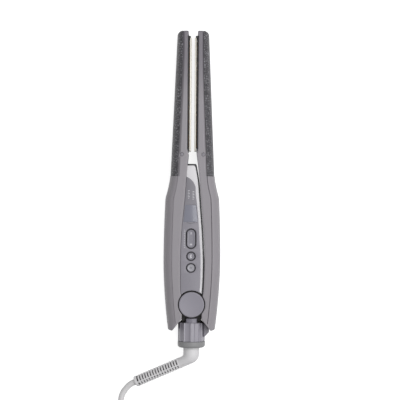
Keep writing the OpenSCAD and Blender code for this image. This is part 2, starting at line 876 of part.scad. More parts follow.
// Tube swept along a route, with one ring at each of its points
function unit(v) = v / norm(v);
function along(p, i) = unit(p[min(i + 1, len(p) - 1)] - p[max(i - 1, 0)]);
module tube(route, radii, sides) {
    n = len(route);
    polyhedron(
        points = [
            for (i = [0:n - 1])
                let (t = along(route, i), u = unit(cross(t, [0, 0, 1])), v = cross(u, t))
                for (k = [0:sides - 1])
                    let (a = 360 * k / sides)
                    route[i] + radii[i] * (cos(a) * u + sin(a) * v)
        ],
        faces = concat(
            [[for (k = [sides - 1:-1:0]) k]],
            [[for (k = [0:sides - 1]) (n - 1) * sides + k]],
            [for (i = [0:n - 2])
                for (k = [0:sides - 1])
                    let (a = i * sides + k, b = i * sides + (k + 1) % sides)
                    each [[a, b, a + sides], [b, b + sides, a + sides]]]
        )
    );
}
module torsion_spring() {
    steps = 14;
    pitch = (depth - core_z - spring_pocket_z - spring_wire - 0.3) / spring_turns;
    route = [
        for (i = [0:spring_turns * steps])
            let (a = 360 * i / steps)
            [spring_r * cos(a), spring_r * sin(a),
                spring_pocket_z + spring_wire / 2 + 0.15 + pitch * i / steps]
    ];
    color(steel) tube(route, [for (p = route) spring_wire / 2], 6);
}

// Wires that run up each arm beside the ribbon
wire_d = 1.8;
wire_foot_y = 44;
wire_top_y = 134;
module arm_wires(side) {
    route = [
        for (y = spread(wire_foot_y, wire_top_y, 7))
            [ribbon_x(y, side) + ribbon_t + wire_d / 2 + 0.1, y, mid_z]
    ];
    color([0.8, 0.8, 0.8])
        on_side(side)
            for (dz = [-1.2, 1.2])
                translate([0, 0, dz]) tube(route, [for (p = route) wire_d / 2], 8);
}

// Lock collar, sliding on the tail barrel
tab_z = 8;
tab_tip_x = 17.6;
collar_bevel = 0.8;
module lock_collar() {
    r = collar_d / 2;
    bore = tail_d / 2 + slide_fit;
    color(casing_grey)
        difference() {
            union() {
                along_tail(collar_top_y)
                    rotate_extrude()
                        polygon([
                            [bore, 0], [r - collar_bevel, 0], [r, collar_bevel], [r, collar_len],
                            [bore, collar_len]
                        ]);
                translate([0, collar_top_y, mid_z - tab_z / 2])
                    linear_extrude(tab_z)
                        polygon([
                            [r - 1, -1.1], [tab_tip_x, -6.6], [tab_tip_x, -9.6], [r - 1, -14.6]
                        ]);
            }
            along_tail(0) cylinder(r = bore, h = 60);
        }
}

// End ring, with the seat of the cord elbow inside
stub_d = 15;
flange_d = 19;
stub_flange_t = 1.5;
seat_depth = stub_flange_t + 0.15;
band_r = 2.5;
turn_fit = 0.06;
module end_ring() {
    r = band_d / 2;
    color([0.55, 0.57, 0.55])
        along_tail(collar_foot_y)
            rotate_extrude()
                polygon(concat(
                    [[flange_d / 2 + turn_fit, 0], [r, 0]],
                    [for (a = [0:18:90])
                        [r - band_r + band_r * cos(a), band_len - band_r + band_r * sin(a)]],
                    [
                        [stub_d / 2 + turn_fit, band_len], [stub_d / 2 + turn_fit, seat_depth],
                        [flange_d / 2 + turn_fit, seat_depth]
                    ]
                ));
}

// Elbow and strain relief, turning together about the tail's axis
elbow_d = 16;
elbow_corner_y = -54.6;
elbow_bend_r = 9;
lead_slope = 24.1;
swivel_roll = 11.15;
elbow_reach = 12.8;
relief_start_d = 10.4;
module swivel_frame() {
    translate([0, 0, mid_z]) rotate([0, -swivel_roll, 0]) children();
}
lead_turn = 90 - lead_slope;
bend_leg = elbow_bend_r * tan(lead_turn / 2);
function bend_point(a) = [
    -elbow_bend_r * (1 - cos(a)),
    elbow_corner_y + bend_leg - elbow_bend_r * sin(a),
    0
];
function lead_point(s) = [-s * cos(lead_slope), elbow_corner_y - s * sin(lead_slope), 0];
module cord_elbow() {
    route = concat(
        [[0, band_foot_y - 0.1, 0]],
        [for (i = [0:5]) bend_point(lead_turn * i / 5)],
        [lead_point((bend_leg + elbow_reach) / 2), lead_point(elbow_reach)]
    );
    n = len(route) - 1;
    radii = [for (i = [0:n]) (elbow_d - (elbow_d - relief_start_d) * pow(max(0, i - 2) / (n - 2), 1.3)) / 2];
    color(light_plastic) {
        swivel_frame() tube(route, radii, 20);
        along_tail(collar_foot_y - 0.1) cylinder(d = flange_d, h = stub_flange_t);
        along_tail(collar_foot_y - 0.1) cylinder(d = stub_d, h = band_len + 1.2);
    }
}
rib_fill = 0.6;
relief_core_d = 7.6;
relief_collar_len = 3;
spine_w = 2.2;
module strain_relief() {
    pitch = (relief_len - relief_collar_len) / relief_ribs;
    color(light_plastic)
        swivel_frame()
            translate(lead_point(elbow_reach))
                rotate([0, 0, -lead_turn])
                    rotate([90, 0, 0]) {
                        rotate_extrude()
                            polygon(concat(
                                [[0, 0]],
                                [for (i = [0:relief_ribs - 1]) each [
                                    [relief_d / 2, i * pitch],
                                    [relief_d / 2, (i + rib_fill) * pitch],
                                    [relief_core_d / 2, (i + rib_fill) * pitch],
                                    [relief_core_d / 2, (i + 1) * pitch]
                                ]],
                                [
                                    [relief_d / 2, relief_len - relief_collar_len],
                                    [relief_d / 2, relief_len], [0, relief_len]
                                ]
                            ));
                        for (s = [-1, 1])
                            translate([-spine_w / 2, s * (relief_d / 2 - 0.9) - 0.6, 0])
                                cube([spine_w, 1.2, relief_len - 1]);
                    }
}

// Lead: the route beyond the relief, then a coil of eight and a quarter turns and the plug
cord_route = [
    [-56, -80.2, 5], [-60.5, -82.3, 4.1], [-65.6, -87.2, 3.2], [-69.3, -93.1, 3], [-70.8, -100, 3],
    [-72, -110, 3], [-73.4, -121, 3.1], [-74.6, -132, 3.3], [-75, -144, 3.5]
];
coil_centre = [-33.5, -144];
coil_outer = 41.5;
coil_rows = 4;
tie_t = 0.5;
tail_route = [
    [-33.5, -185.5, 9.5], [-20, -185.5, 9.5], [-8, -185.8, 8.8], [4, -186.3, 7.2], [15.8, -186.5, 6.6]
];
module cord_tube() {
    color(light_plastic) tube(cord_route, [for (p = cord_route) cord_d / 2], 10);
}
module cord_tail() {
    color(light_plastic) tube(tail_route, [for (p = tail_route) cord_d / 2], 10);
}
coil_in = coil_outer - (coil_rows - 0.5) * cord_d;
coil_out = coil_outer + cord_d / 2;
coil_h = 2 * cord_d;
module cord_coil() {
    r = cord_d / 2;
    color(light_plastic)
        translate([coil_centre[0], coil_centre[1], tie_t])
            rotate_extrude($fn = 64)
                polygon([
                    [coil_in, 1.2], [coil_in + 1.2, 0], [coil_out - 1.2, 0], [coil_out, 1.2],
                    [coil_out, coil_h - 1.2], [coil_out - 1.2, coil_h], [coil_in + 1.2, coil_h],
                    [coil_in, coil_h - 1.2]
                ]);
}
tie_w = 8;
tie_clear = 0.1;
tie_in = sqrt(coil_in * coil_in - tie_w * tie_w / 4) - tie_clear;
tie_span = coil_out + tie_clear - tie_in;
module cord_tie() {
    color(dark)
        translate([coil_centre[0] + tie_in, coil_centre[1] - tie_w / 2, 0])
            difference() {
                translate([-tie_t, 0, 0]) cube([tie_span + 2 * tie_t, tie_w, coil_h + 2 * tie_t + tie_clear]);
                translate([0, -1, tie_t]) cube([tie_span, tie_w + 2, coil_h + tie_clear]);
            }
}
plug_at = [16, -186.5, 6.6];
plug_relief_len = 15;
plug_len = 28;
plug_w = 25;
plug_t = 13;
blade_len = 17;
blade_w = 6.3;
blade_t = 1.5;
blade_pitch = 12.7;
module plug_body() {
    color(light_plastic)
        translate(plug_at) {
            rotate([0, 90, 0]) cylinder(d1 = cord_d + 2.5, d2 = cord_d + 4, h = plug_relief_len);
            translate([plug_relief_len, 0, 0])
                rotate([90, 0, 90])
                    linear_extrude(plug_len)
                        intersection() {
                            square([plug_w, plug_t], center = true);
                            union() {
                                square([plug_w - plug_t, plug_t], center = true);
                                for (s = [-1, 1])
                                    translate([s * (plug_w - plug_t) / 2, 0]) circle(d = plug_t);
                            }
                        }
        }
}
module plug_blades() {
    color(steel)
        for (s = [-1, 1])
            translate([
                plug_at[0] + plug_relief_len + plug_len,
                plug_at[1] + s * blade_pitch / 2 - blade_t / 2,
                plug_at[2] - blade_w / 2
            ])
                cube([blade_len, blade_t, blade_w]);
}

casing(left);  // left_casing
casing(right);  // right_casing
heat_panel(left);  // left_heat_panel
heat_panel(right);  // right_heat_panel
frame(left);  // left_frame
frame(right);  // right_frame
carrier(left);  // left_carrier
carrier(right);  // right_carrier
plate(left);  // left_plate
plate(right);  // right_plate
heater(left);  // left_heater
heater(right);  // right_heater
cushions(left);  // left_cushions
cushions(right);  // right_cushions
thermal_sensor();
thermal_fuse();
arm_wires(left);  // left_wires
arm_wires(right);  // right_wires
screws(left);  // left_screws
screws(right);  // right_screws
screw_cover(left);  // left_screw_covers
screw_cover(right);  // right_screw_covers
pod_housing();
pod_trim();
control_panel();
rear_panel();
display_window();
display_module();
circuit_board();
tact_switches();
rocker();
mode_button();
power_button();
hub_core();
hinge_pin();
hinge_washers();
torsion_spring();
front_hub_cap();
rear_hub_cap();
lock_collar();
end_ring();
cord_elbow();
strain_relief();
cord_tube();
cord_coil();
cord_tail();
cord_tie();
plug_body();
plug_blades();
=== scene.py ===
import math

import bmesh
import bpy
from mathutils import Matrix, Vector


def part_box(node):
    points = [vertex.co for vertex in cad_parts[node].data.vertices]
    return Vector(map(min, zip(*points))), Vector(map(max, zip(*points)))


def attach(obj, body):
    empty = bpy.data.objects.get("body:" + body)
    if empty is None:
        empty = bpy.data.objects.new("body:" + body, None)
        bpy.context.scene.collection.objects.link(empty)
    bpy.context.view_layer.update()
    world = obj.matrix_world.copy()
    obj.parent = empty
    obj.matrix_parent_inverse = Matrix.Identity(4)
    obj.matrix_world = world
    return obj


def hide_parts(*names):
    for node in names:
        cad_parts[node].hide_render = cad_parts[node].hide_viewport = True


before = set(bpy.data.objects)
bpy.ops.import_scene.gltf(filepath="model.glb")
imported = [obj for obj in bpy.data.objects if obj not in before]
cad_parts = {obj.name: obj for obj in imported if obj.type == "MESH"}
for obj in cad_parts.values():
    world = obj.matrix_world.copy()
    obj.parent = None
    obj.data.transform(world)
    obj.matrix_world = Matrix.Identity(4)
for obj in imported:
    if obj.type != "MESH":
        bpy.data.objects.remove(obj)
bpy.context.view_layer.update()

# Hair straightener lying on its side, seen straight down on its front face.
# Lengths below are millimetres: X to the right, Y toward the tips, Z up from the resting plane.
MM = 0.001


def node_box(name):
    """Lowest and highest corner of a CAD node, in millimetres."""
    low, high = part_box(name)
    return [c / MM for c in low], [c / MM for c in high]


DEPTH = node_box("left_casing")[1][2]
MID_Z = DEPTH / 2
TIP_Y = node_box("left_heat_panel")[1][1]
LEFT, RIGHT = -1, 1
ARMS = ((LEFT, "left"), (RIGHT, "right"))

# Camera: straight above the object, 400 mm across at its middle, rolled a little as in the photograph
CAMERA_X, CAMERA_Y, CAMERA_DISTANCE, CAMERA_ROLL = 7.7, 103.5, 1300, 0.4
FRAME_WIDTH, SENSOR = 400, 36


def make_camera():
    data = bpy.data.cameras.new("camera")
    data.sensor_width = SENSOR
    data.lens = SENSOR * CAMERA_DISTANCE / FRAME_WIDTH
    data.clip_end = 20
    camera = bpy.data.objects.new("camera", data)
    camera.location = Vector((CAMERA_X, CAMERA_Y, MID_Z + CAMERA_DISTANCE)) * MM
    camera.rotation_euler = (0, 0, math.radians(CAMERA_ROLL))
    bpy.context.collection.objects.link(camera)
    bpy.context.scene.camera = camera


make_camera()


# Shader helpers
def linear(hex_colour):
    """Linear colour of a hex colour as seen on screen."""
    channels = [int(hex_colour[i:i + 2], 16) / 255 for i in (0, 2, 4)]
    return [c / 12.92 if c <= 0.04045 else ((c + 0.055) / 1.055) ** 2.4 for c in channels] + [1.0]


def every(size):
    """Pattern scale that repeats every so many millimetres."""
    return 1 / (size * MM)


def add(tree, kind, inputs=None, **settings):
    """A node with its settings, and its inputs given as values or as the sockets that feed them."""
    node = tree.nodes.new(kind)
    place = len(tree.nodes) - 1
    node.location = (240 * (place % 5), -320 * (place // 5))
    for key, value in settings.items():
        setattr(node, key, value)
    for key, value in (inputs or {}).items():
        if isinstance(value, bpy.types.NodeSocket):
            tree.links.new(value, node.inputs[key])
        else:
            node.inputs[key].default_value = value
    return node


def new_material(name):
    """An empty material, its node tree and the piece's own coordinates."""
    material = bpy.data.materials.new(name)
    material.use_nodes = True
    material.node_tree.nodes.clear()
    return material, material.node_tree, add(material.node_tree, "ShaderNodeTexCoord").outputs["Object"]


# A Mix node's sockets by number, for two colours and for two directions
MIX_A, MIX_B, MIX_RESULT = 6, 7, 2
WAY_A, WAY_B, WAY_RESULT = 4, 5, 1
# A wave texture draws so many waves in each unit of its scale
WAVES_IN_SCALE = 20


# Moulded plastics: ABS and its kin from a spark-eroded tool. The melt's flow leaves a slow drift of
# tone, the tool a fine grain that softens every highlight, and handling polishes it unevenly.
# The grain is really 0.1 mm and is drawn coarser, so that it shows. Where a far colour is given,
# the part turns toward it between two heights, as the casings darken toward the tips.
def moulded_plastic(name, dark, light, roughness, grain=0.7, relief=0.03, flow=28, far=None):
    material, tree, where = new_material(name)
    drift = add(tree, "ShaderNodeTexNoise", {"Vector": where, "Scale": every(flow), "Detail": 3})
    tone = add(
        tree, "ShaderNodeMix", {0: drift.outputs["Fac"], MIX_A: linear(dark), MIX_B: linear(light)},
        data_type="RGBA")
    if far:
        far_colour, low_y, high_y = far
        height = add(tree, "ShaderNodeSeparateXYZ", {"Vector": where})
        reach = add(tree, "ShaderNodeMapRange", {
            "Value": height.outputs["Y"], "From Min": low_y * MM, "From Max": high_y * MM},
            interpolation_type="SMOOTHSTEP")
        tone = add(tree, "ShaderNodeMix", {
            0: reach.outputs["Result"], MIX_A: tone.outputs[MIX_RESULT], MIX_B: linear(far_colour)},
            data_type="RGBA")
    tooth = add(tree, "ShaderNodeTexNoise", {"Vector": where, "Scale": every(grain), "Detail": 2})
    relieved = add(
        tree, "ShaderNodeBump",
        {"Height": tooth.outputs["Fac"], "Strength": 0.35, "Distance": relief * MM})
    polish = add(tree, "ShaderNodeMapRange", {
        "Value": drift.outputs["Fac"], "From Min": 0.3, "From Max": 0.7,
        "To Min": roughness - 0.05, "To Max": roughness + 0.05})
    shader = add(tree, "ShaderNodeBsdfPrincipled", {
        "Base Color": tone.outputs[MIX_RESULT], "Roughness": polish.outputs["Result"],
        "Normal": relieved.outputs["Normal"], "IOR": 1.5})
    add(tree, "ShaderNodeOutputMaterial", {"Surface": shader.outputs["BSDF"]})
    return material


# Heat panels: glass-filled polyamide from a deep-etched tool, a leathery relief of small flat
# scales about 2 mm across, matte in the hollows and worn lighter on the crowns
def etched_heat_resin(name, hollow, crown):
    material, tree, where = new_material(name)
    warp = add(tree, "ShaderNodeTexNoise", {"Vector": where, "Scale": every(4), "Detail": 2})
    pushed = add(tree, "ShaderNodeMix", {
        0: 1.2 * MM, WAY_A: where, WAY_B: warp.outputs["Color"]}, data_type="VECTOR")
    scales = add(
        tree, "ShaderNodeTexVoronoi", {"Vector": pushed.outputs[WAY_RESULT], "Scale": every(2.1)},
        feature="DISTANCE_TO_EDGE")
    soft = add(tree, "ShaderNodeMapRange", {
        "Value": scales.outputs["Distance"], "From Min": 0.02, "From Max": 0.3})
    patches = add(tree, "ShaderNodeTexNoise", {"Vector": where, "Scale": every(3.2), "Detail": 4})
    worn = add(tree, "ShaderNodeMath", {
        0: soft.outputs["Result"], 1: patches.outputs["Fac"]}, operation="MULTIPLY")
    spread_out = add(tree, "ShaderNodeMapRange", {
        "Value": worn.outputs["Value"], "From Min": 0.1, "From Max": 0.6})
    tone = add(tree, "ShaderNodeMix", {
        0: spread_out.outputs["Result"], MIX_A: linear(hollow), MIX_B: linear(crown)}, data_type="RGBA")
    relieved = add(tree, "ShaderNodeBump", {
        "Height": worn.outputs["Value"], "Strength": 0.6, "Distance": 0.25 * MM})
    shader = add(tree, "ShaderNodeBsdfPrincipled", {
        "Base Color": tone.outputs[MIX_RESULT], "Roughness": 0.5, "IOR": 1.53,
        "Specular IOR Level": 0.4, "Normal": relieved.outputs["Normal"]})
    add(tree, "ShaderNodeOutputMaterial", {"Surface": shader.outputs["BSDF"]})
    return material


# Plates: aluminium under a sprayed champagne ceramic coating, pale and warm with a satin sheen.
# Polishing lines run along the plate 0.4 mm apart.
def coated_aluminium(name, dark, light):
    material, tree, where = new_material(name)
    along = add(tree, "ShaderNodeMapping", {"Vector": where, "Scale": (1, 0.03, 1)})
    lines = add(tree, "ShaderNodeTexNoise", {
        "Vector": along.outputs["Vector"], "Scale": every(0.4), "Detail": 2})
    tone = add(tree, "ShaderNodeMix", {
        0: lines.outputs["Fac"], MIX_A: linear(dark), MIX_B: linear(light)}, data_type="RGBA")
    relieved = add(tree, "ShaderNodeBump", {
        "Height": lines.outputs["Fac"], "Strength": 0.12, "Distance": 0.01 * MM})
    shader = add(tree, "ShaderNodeBsdfPrincipled", {
        "Base Color": tone.outputs[MIX_RESULT], "Roughness": 0.34, "Metallic": 0.1,
        "Coat Weight": 0.25, "Coat Roughness": 0.2, "Normal": relieved.outputs["Normal"]})
    add(tree, "ShaderNodeOutputMaterial", {"Surface": shader.outputs["BSDF"]})
    return material


# Bare metals: drawn wire, pressed blades and turned pins, with the draw lines 0.3 mm apart
def drawn_metal(name, dark, light, roughness, stretch):
    material, tree, where = new_material(name)
    along = add(tree, "ShaderNodeMapping", {"Vector": where, "Scale": stretch})
    lines = add(tree, "ShaderNodeTexNoise", {
        "Vector": along.outputs["Vector"], "Scale": every(0.3), "Detail": 3})
    tone = add(tree, "ShaderNodeMix", {
        0: lines.outputs["Fac"], MIX_A: linear(dark), MIX_B: linear(light)}, data_type="RGBA")
    relieved = add(tree, "ShaderNodeBump", {
        "Height": lines.outputs["Fac"], "Strength": 0.2, "Distance": 0.015 * MM})
    shader = add(tree, "ShaderNodeBsdfPrincipled", {
        "Base Color": tone.outputs[MIX_RESULT], "Roughness": roughness, "Metallic": 1.0,
        "Normal": relieved.outputs["Normal"]})
    add(tree, "ShaderNodeOutputMaterial", {"Surface": shader.outputs["BSDF"]})
    return material


# Window: tinted acrylic, glossy and cool, over a display that sleeps behind it
def tinted_acrylic(name, dark, light):
    material, tree, where = new_material(name)
    depth = add(tree, "ShaderNodeTexNoise", {"Vector": where, "Scale": every(45), "Detail": 1})
    tone = add(tree, "ShaderNodeMix", {
        0: depth.outputs["Fac"], MIX_A: linear(dark), MIX_B: linear(light)}, data_type="RGBA")
    smudge = add(tree, "ShaderNodeTexNoise", {"Vector": where, "Scale": every(9), "Detail": 4})
    gloss = add(tree, "ShaderNodeMapRange", {
        "Value": smudge.outputs["Fac"], "To Min": 0.14, "To Max": 0.3})
    shader = add(tree, "ShaderNodeBsdfPrincipled", {
        "Base Color": tone.outputs[MIX_RESULT], "Roughness": gloss.outputs["Result"], "IOR": 1.49,
        "Coat Weight": 0.4, "Coat Roughness": 0.08})
    add(tree, "ShaderNodeOutputMaterial", {"Surface": shader.outputs["BSDF"]})
    return material


# Heater foil: polyimide film over etched tracks that run across it 1.2 mm apart, amber and glossy
def polyimide_foil(name, film, track):
    material, tree, where = new_material(name)
    tracks = add(tree, "ShaderNodeTexWave", {
        "Vector": where, "Scale": every(1.2) / WAVES_IN_SCALE, "Distortion": 0.4, "Detail": 1},
        bands_direction="Y")
    tone = add(tree, "ShaderNodeMix", {
        0: tracks.outputs["Fac"], MIX_A: linear(film), MIX_B: linear(track)}, data_type="RGBA")
    relieved = add(tree, "ShaderNodeBump", {
        "Height": tracks.outputs["Fac"], "Strength": 0.3, "Distance": 0.05 * MM})
    shader = add(tree, "ShaderNodeBsdfPrincipled", {
        "Base Color": tone.outputs[MIX_RESULT], "Roughness": 0.3, "Metallic": 0.3,
        "Coat Weight": 0.5, "Normal": relieved.outputs["Normal"]})
    add(tree, "ShaderNodeOutputMaterial", {"Surface": shader.outputs["BSDF"]})
    return material


# Circuit board: green solder mask over copper lines that show through it every 2.5 mm
def solder_mask(name, mask, copper):
    material, tree, where = new_material(name)
    lines = add(tree, "ShaderNodeTexBrick", {
        "Vector": where, "Scale": every(5), "Mortar Size": 0.03, "Color1": linear(mask),
        "Color2": linear(mask), "Mortar": linear(copper)})
    relieved = add(tree, "ShaderNodeBump", {
        "Height": lines.outputs["Fac"], "Strength": 0.3, "Distance": 0.03 * MM})
    shader = add(tree, "ShaderNodeBsdfPrincipled", {
        "Base Color": lines.outputs["Color"], "Roughness": 0.35, "Coat Weight": 0.3,
        "Normal": relieved.outputs["Normal"]})
    add(tree, "ShaderNodeOutputMaterial", {"Surface": shader.outputs["BSDF"]})
    return material


# The lead's soft PVC has a tacky, powdery face with a longer, lower wave than hard plastic;
# silicone is softer still, and the printed marks are flat ink
FINISHES = {
    "casing": moulded_plastic("satin_moulded_abs", "959196", "9f9ba1", 0.5, far=("7e7a81", 195, 250)),
    "casing_edge": moulded_plastic("satin_moulded_plug_abs", "89868d", "938f97", 0.5),
    # Casing insides: the casing's own grey ABS, coloured dark as painted shade of the hollow
    "hollow": moulded_plastic("inner_abs_painted_shade", "2e2926", "3a3532", 0.7, 1.2, 0.06),
    "heat_panel": etched_heat_resin("etched_heat_resin", "343337", "8a888e"),
    "panel": moulded_plastic("satin_painted_pod_abs", "8b8891", "95929b", 0.42, far=("817f86", 70, 120)),
    "pod": moulded_plastic("white_moulded_abs", "e4e2e5", "ecebee", 0.36),
    "trim": moulded_plastic("black_moulded_abs", "1b1b1d", "28282b", 0.5),
    "plate": coated_aluminium("champagne_ceramic_coated_aluminium", "f0e9dc", "f8f3e8"),
    "carrier": moulded_plastic("black_glass_filled_polyamide", "191717", "252323", 0.65, 0.9, 0.06),
    "cap": moulded_plastic("satin_moulded_cap_abs", "918e98", "9a97a2", 0.48),
    "collar": moulded_plastic("satin_moulded_collar_abs", "9a97a1", "a5a2ac", 0.3),
    "neck": moulded_plastic("satin_moulded_neck_polyamide", "7f7c88", "8b8894", 0.36),
    # The tab is moulded with the collar, a shade darker than it: painted shade from the fin above
    "tab": moulded_plastic("satin_moulded_tab_painted_shade", "8b8891", "96939c", 0.4),
    "ring": moulded_plastic("neutral_grey_moulded_abs", "8e8e8f", "98989a", 0.42),
    # Button skirts: the buttons' own plastic, darkened as painted shade in the gaps round the caps
    "skirt": moulded_plastic("skirt_abs_painted_shade", "605e64", "6b696f", 0.6),
    "button": moulded_plastic("satin_moulded_button_abs", "85838c", "8f8d97", 0.4),
    "button_light": moulded_plastic("pale_moulded_button_abs", "a5a4ab", "afaeb5", 0.38),
    "ink": moulded_plastic("pale_pad_printed_ink", "d6d5da", "e0dfe4", 0.5, 0.5, 0.005),
    # Grey ink: the power symbol's print, and also the painted shade of the groove under the window
    "ink_dark": moulded_plastic("grey_printed_ink_and_groove_shade", "55545a", "626167", 0.5, 0.5, 0.005),
    "window": tinted_acrylic("tinted_acrylic", "7b7c8a", "838492"),
    "cord": moulded_plastic("soft_extruded_pvc", "e4e3e4", "edeced", 0.42, 1.6, 0.05, 60),
    "relief": moulded_plastic("soft_overmoulded_pvc", "e6e5e7", "efeef0", 0.42, 1.1, 0.04, 40),
    # The relief's core is the cord's own white PVC, darkened as painted shade in the slots between the
    # ribs
    "cord_shade": moulded_plastic("soft_pvc_painted_slot_shade", "565453", "615f5e", 0.6, 1.1, 0.04, 40),
    "steel": drawn_metal("plain_turned_steel", "b0b0b2", "c8c8ca", 0.35, (1, 1, 0.05)),
    "brass": drawn_metal("plated_pressed_brass", "c9a860", "dcc184", 0.3, (0.05, 1, 1)),
    "silicone": moulded_plastic("red_moulded_silicone", "a54a3c", "b75646", 0.65, 1.5, 0.05),
    "board": solder_mask("green_solder_mask", "1c5a33", "5d7a35"),
    "foil": polyimide_foil("polyimide_heater_foil", "b07a2c", "8a5a24"),
    "wire": moulded_plastic("extruded_wire_insulation", "c4c4c6", "d2d2d4", 0.4, 1.0, 0.02),
}


# Outline helpers, in millimetres and degrees
def steps(low, high, count):
    """Evenly spaced numbers from low to high, with both of them."""
    return [low + (high - low) * k / count for k in range(count + 1)]


def arc(cx, cy, r, angles):
    """Points round a centre at the given angles."""
    return [(cx + r * math.cos(math.radians(a)), cy + r * math.sin(math.radians(a))) for a in angles]


def circle(cx, cy, d, count=64):
    """Outline of a round hole or disc."""
    return arc(cx, cy, d / 2, steps(0, 360, count)[:-1])


def stadium(cx, cy, length, width, count):
    """Outline of a slot with round ends, long along Y, with so many points at each end."""
    r, reach = width / 2, (length - width) / 2
    end = [180 * (k + 0.5) / count for k in range(count)]
    return arc(cx, cy + reach, r, end) + arc(cx, cy - reach, r, [180 + a for a in end])


def rod(radius, length):
    """Profile of a plain round bar."""
    return [(0, 0), (radius, 0), (radius, length), (0, length)]


def matrix_to(origin, direction):
    """Puts a shape drawn along Z at an origin, pointing in a direction."""
    return Matrix.Translation(origin) @ Vector(direction).to_track_quat("Z", "Y").to_matrix().to_4x4()


# Building helpers
def close_up(mesh, gap=0.002):
    """Merges doubled points and turns every face outward."""
    work = bmesh.new()
    work.from_mesh(mesh)
    bmesh.ops.remove_doubles(work, verts=work.verts, dist=gap * MM)
    bmesh.ops.recalc_face_normals(work, faces=work.faces)
    work.to_mesh(mesh)
    work.free()


def link(name, mesh, finish):
    """A piece in the scene, with its finish where the mesh brings none."""
    piece = bpy.data.objects.new(name, mesh)
    bpy.context.collection.objects.link(piece)
    if not mesh.materials:
        mesh.materials.append(FINISHES[finish])
    return piece


def mesh_piece(name, points, faces, finish, sharp=35, inner=None):
    """A smooth-shaded piece from points in millimetres, with a second finish on its inner faces."""
    mesh = bpy.data.meshes.new(name)
    mesh.from_pydata([[c * MM for c in p] for p in points], [], faces)
    mesh.materials.append(FINISHES[finish])
    if inner:
        inner_finish, numbers = inner
        mesh.materials.append(FINISHES[inner_finish])
        for number in numbers:
            mesh.polygons[number].material_index = 1
    close_up(mesh)
    return finish_shading(link(name, mesh, finish), sharp)


def finish_shading(piece, sharp):
    """Smooth shading but for the edges that turn by more than so many degrees."""
    mesh = piece.data
    mesh.polygons.foreach_set("use_smooth", [True] * len(mesh.polygons))
    mesh.set_sharp_from_angle(angle=math.radians(sharp))
    return piece


def frames_along(path):
    """A pair of cross directions at each point of a path, turned as little as possible."""
    points = [Vector(p) for p in path]
    tangents = [
        (points[min(i + 1, len(points) - 1)] - points[max(i - 1, 0)]).normalized()
        for i in range(len(points))
    ]
    across = tangents[0].cross(Vector((0, 0, 1)))
    across = (across if across.length > 0.1 else Vector((1, 0, 0))).normalized()
    frames = []
    for point, tangent in zip(points, tangents):
        across = (across - tangent * across.dot(tangent)).normalized()
        frames.append((point, across, across.cross(tangent)))
    return frames


def ring_piece(name, rings, side, finish, sharp=35, inner=None):
    """A skin over closed rings of equal length, with a flat face over each end. Inner is a finish
    and the first place of the ring's inner run."""
    sides, count = len(rings[0]), len(rings)
    points = [(side * x, y, z) for ring in rings for x, y, z in ring]
    faces = []
    for row in range(0, (count - 1) * sides, sides):
        for k in range(sides):
            after = (k + 1) % sides
            faces.append((row + k, row + sides + k, row + sides + after, row + after))
    faces += [tuple(range(sides)), tuple((count - 1) * sides + k for k in range(sides))]
    if inner:
        inner_finish, first = inner
        inner = inner_finish, [j * sides + k for j in range(count - 1) for k in range(first, sides - 1)]
    return mesh_piece(name, points, faces, finish, sharp, inner)


def tube_piece(name, path, radius, finish, sides):
    """A tube along a path, with flat ends."""
    turns = [2 * math.pi * k / sides for k in range(sides)]
    rings = [
        [point + radius * (math.cos(a) * u + math.sin(a) * v) for a in turns]
        for point, u, v in frames_along(path)
    ]
    return ring_piece(name, rings, RIGHT, finish, 50)


def lathe_piece(name, profile, place, finish, sides=96):
    """A profile of (radius, height) turned about the Z axis and put in place by a matrix."""
    points, rows = [], []
    for r, h in profile:
        count = 1 if r == 0 else sides
        rows.append((len(points), count))
        turns = [2 * math.pi * k / count for k in range(count)]
        points += [place @ Vector((r * math.cos(a), r * math.sin(a), h)) for a in turns]
    faces = []
    for (a, na), (b, nb) in zip(rows, rows[1:]):
        for k in range(sides):
            corners = [a + k % na, a + (k + 1) % na, b + (k + 1) % nb, b + k % nb]
            face = tuple(dict.fromkeys(corners))
            if len(face) > 2:
                faces.append(face)
    return mesh_piece(name, points, faces, finish)


def outline_piece(name, outlines, low, high, bevel, finish, side=RIGHT):
    """A plate cut to outlines in XY, later ones being holes, with rounded edges top and bottom."""
    curve = bpy.data.curves.new(name, "CURVE")
    curve.dimensions = "2D"
    curve.fill_mode = "BOTH"
    for outline in outlines:
        spline = curve.splines.new("POLY")
        spline.points.add(len(outline) - 1)
        for point, (x, y) in zip(spline.points, outline):
            point.co = (side * x * MM, y * MM, 0, 1)
        spline.use_cyclic_u = True
    curve.offset = -bevel * MM
    curve.bevel_depth = bevel * MM
    curve.bevel_resolution = 3
    curve.extrude = ((high - low) / 2 - bevel) * MM
    shape = bpy.data.objects.new(name, curve)
    bpy.context.collection.objects.link(shape)
    graph = bpy.context.evaluated_depsgraph_get()
    mesh = bpy.data.meshes.new_from_object(shape.evaluated_get(graph))
    bpy.data.objects.remove(shape)
    mesh.transform(Matrix.Translation((0, 0, (low + high) / 2 * MM)))
    close_up(mesh, 0.003)
    return finish_shading(link(name, mesh, finish), 30)


def join(name, parts):
    """One piece from several, keeping their materials."""
    if len(parts) > 1:
        with bpy.context.temp_override(
                active_object=parts[0], selected_editable_objects=parts, selected_objects=parts):
            bpy.ops.object.join()
    parts[0].name = name
    parts[0].data.name = name
    return parts[0]


def dress(piece, body, slot, *nodes):
    """Makes a piece ride on its body and stand for CAD nodes. Its slot is not used."""
    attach(piece, body)
    if nodes:
        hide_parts(*nodes)
    return piece


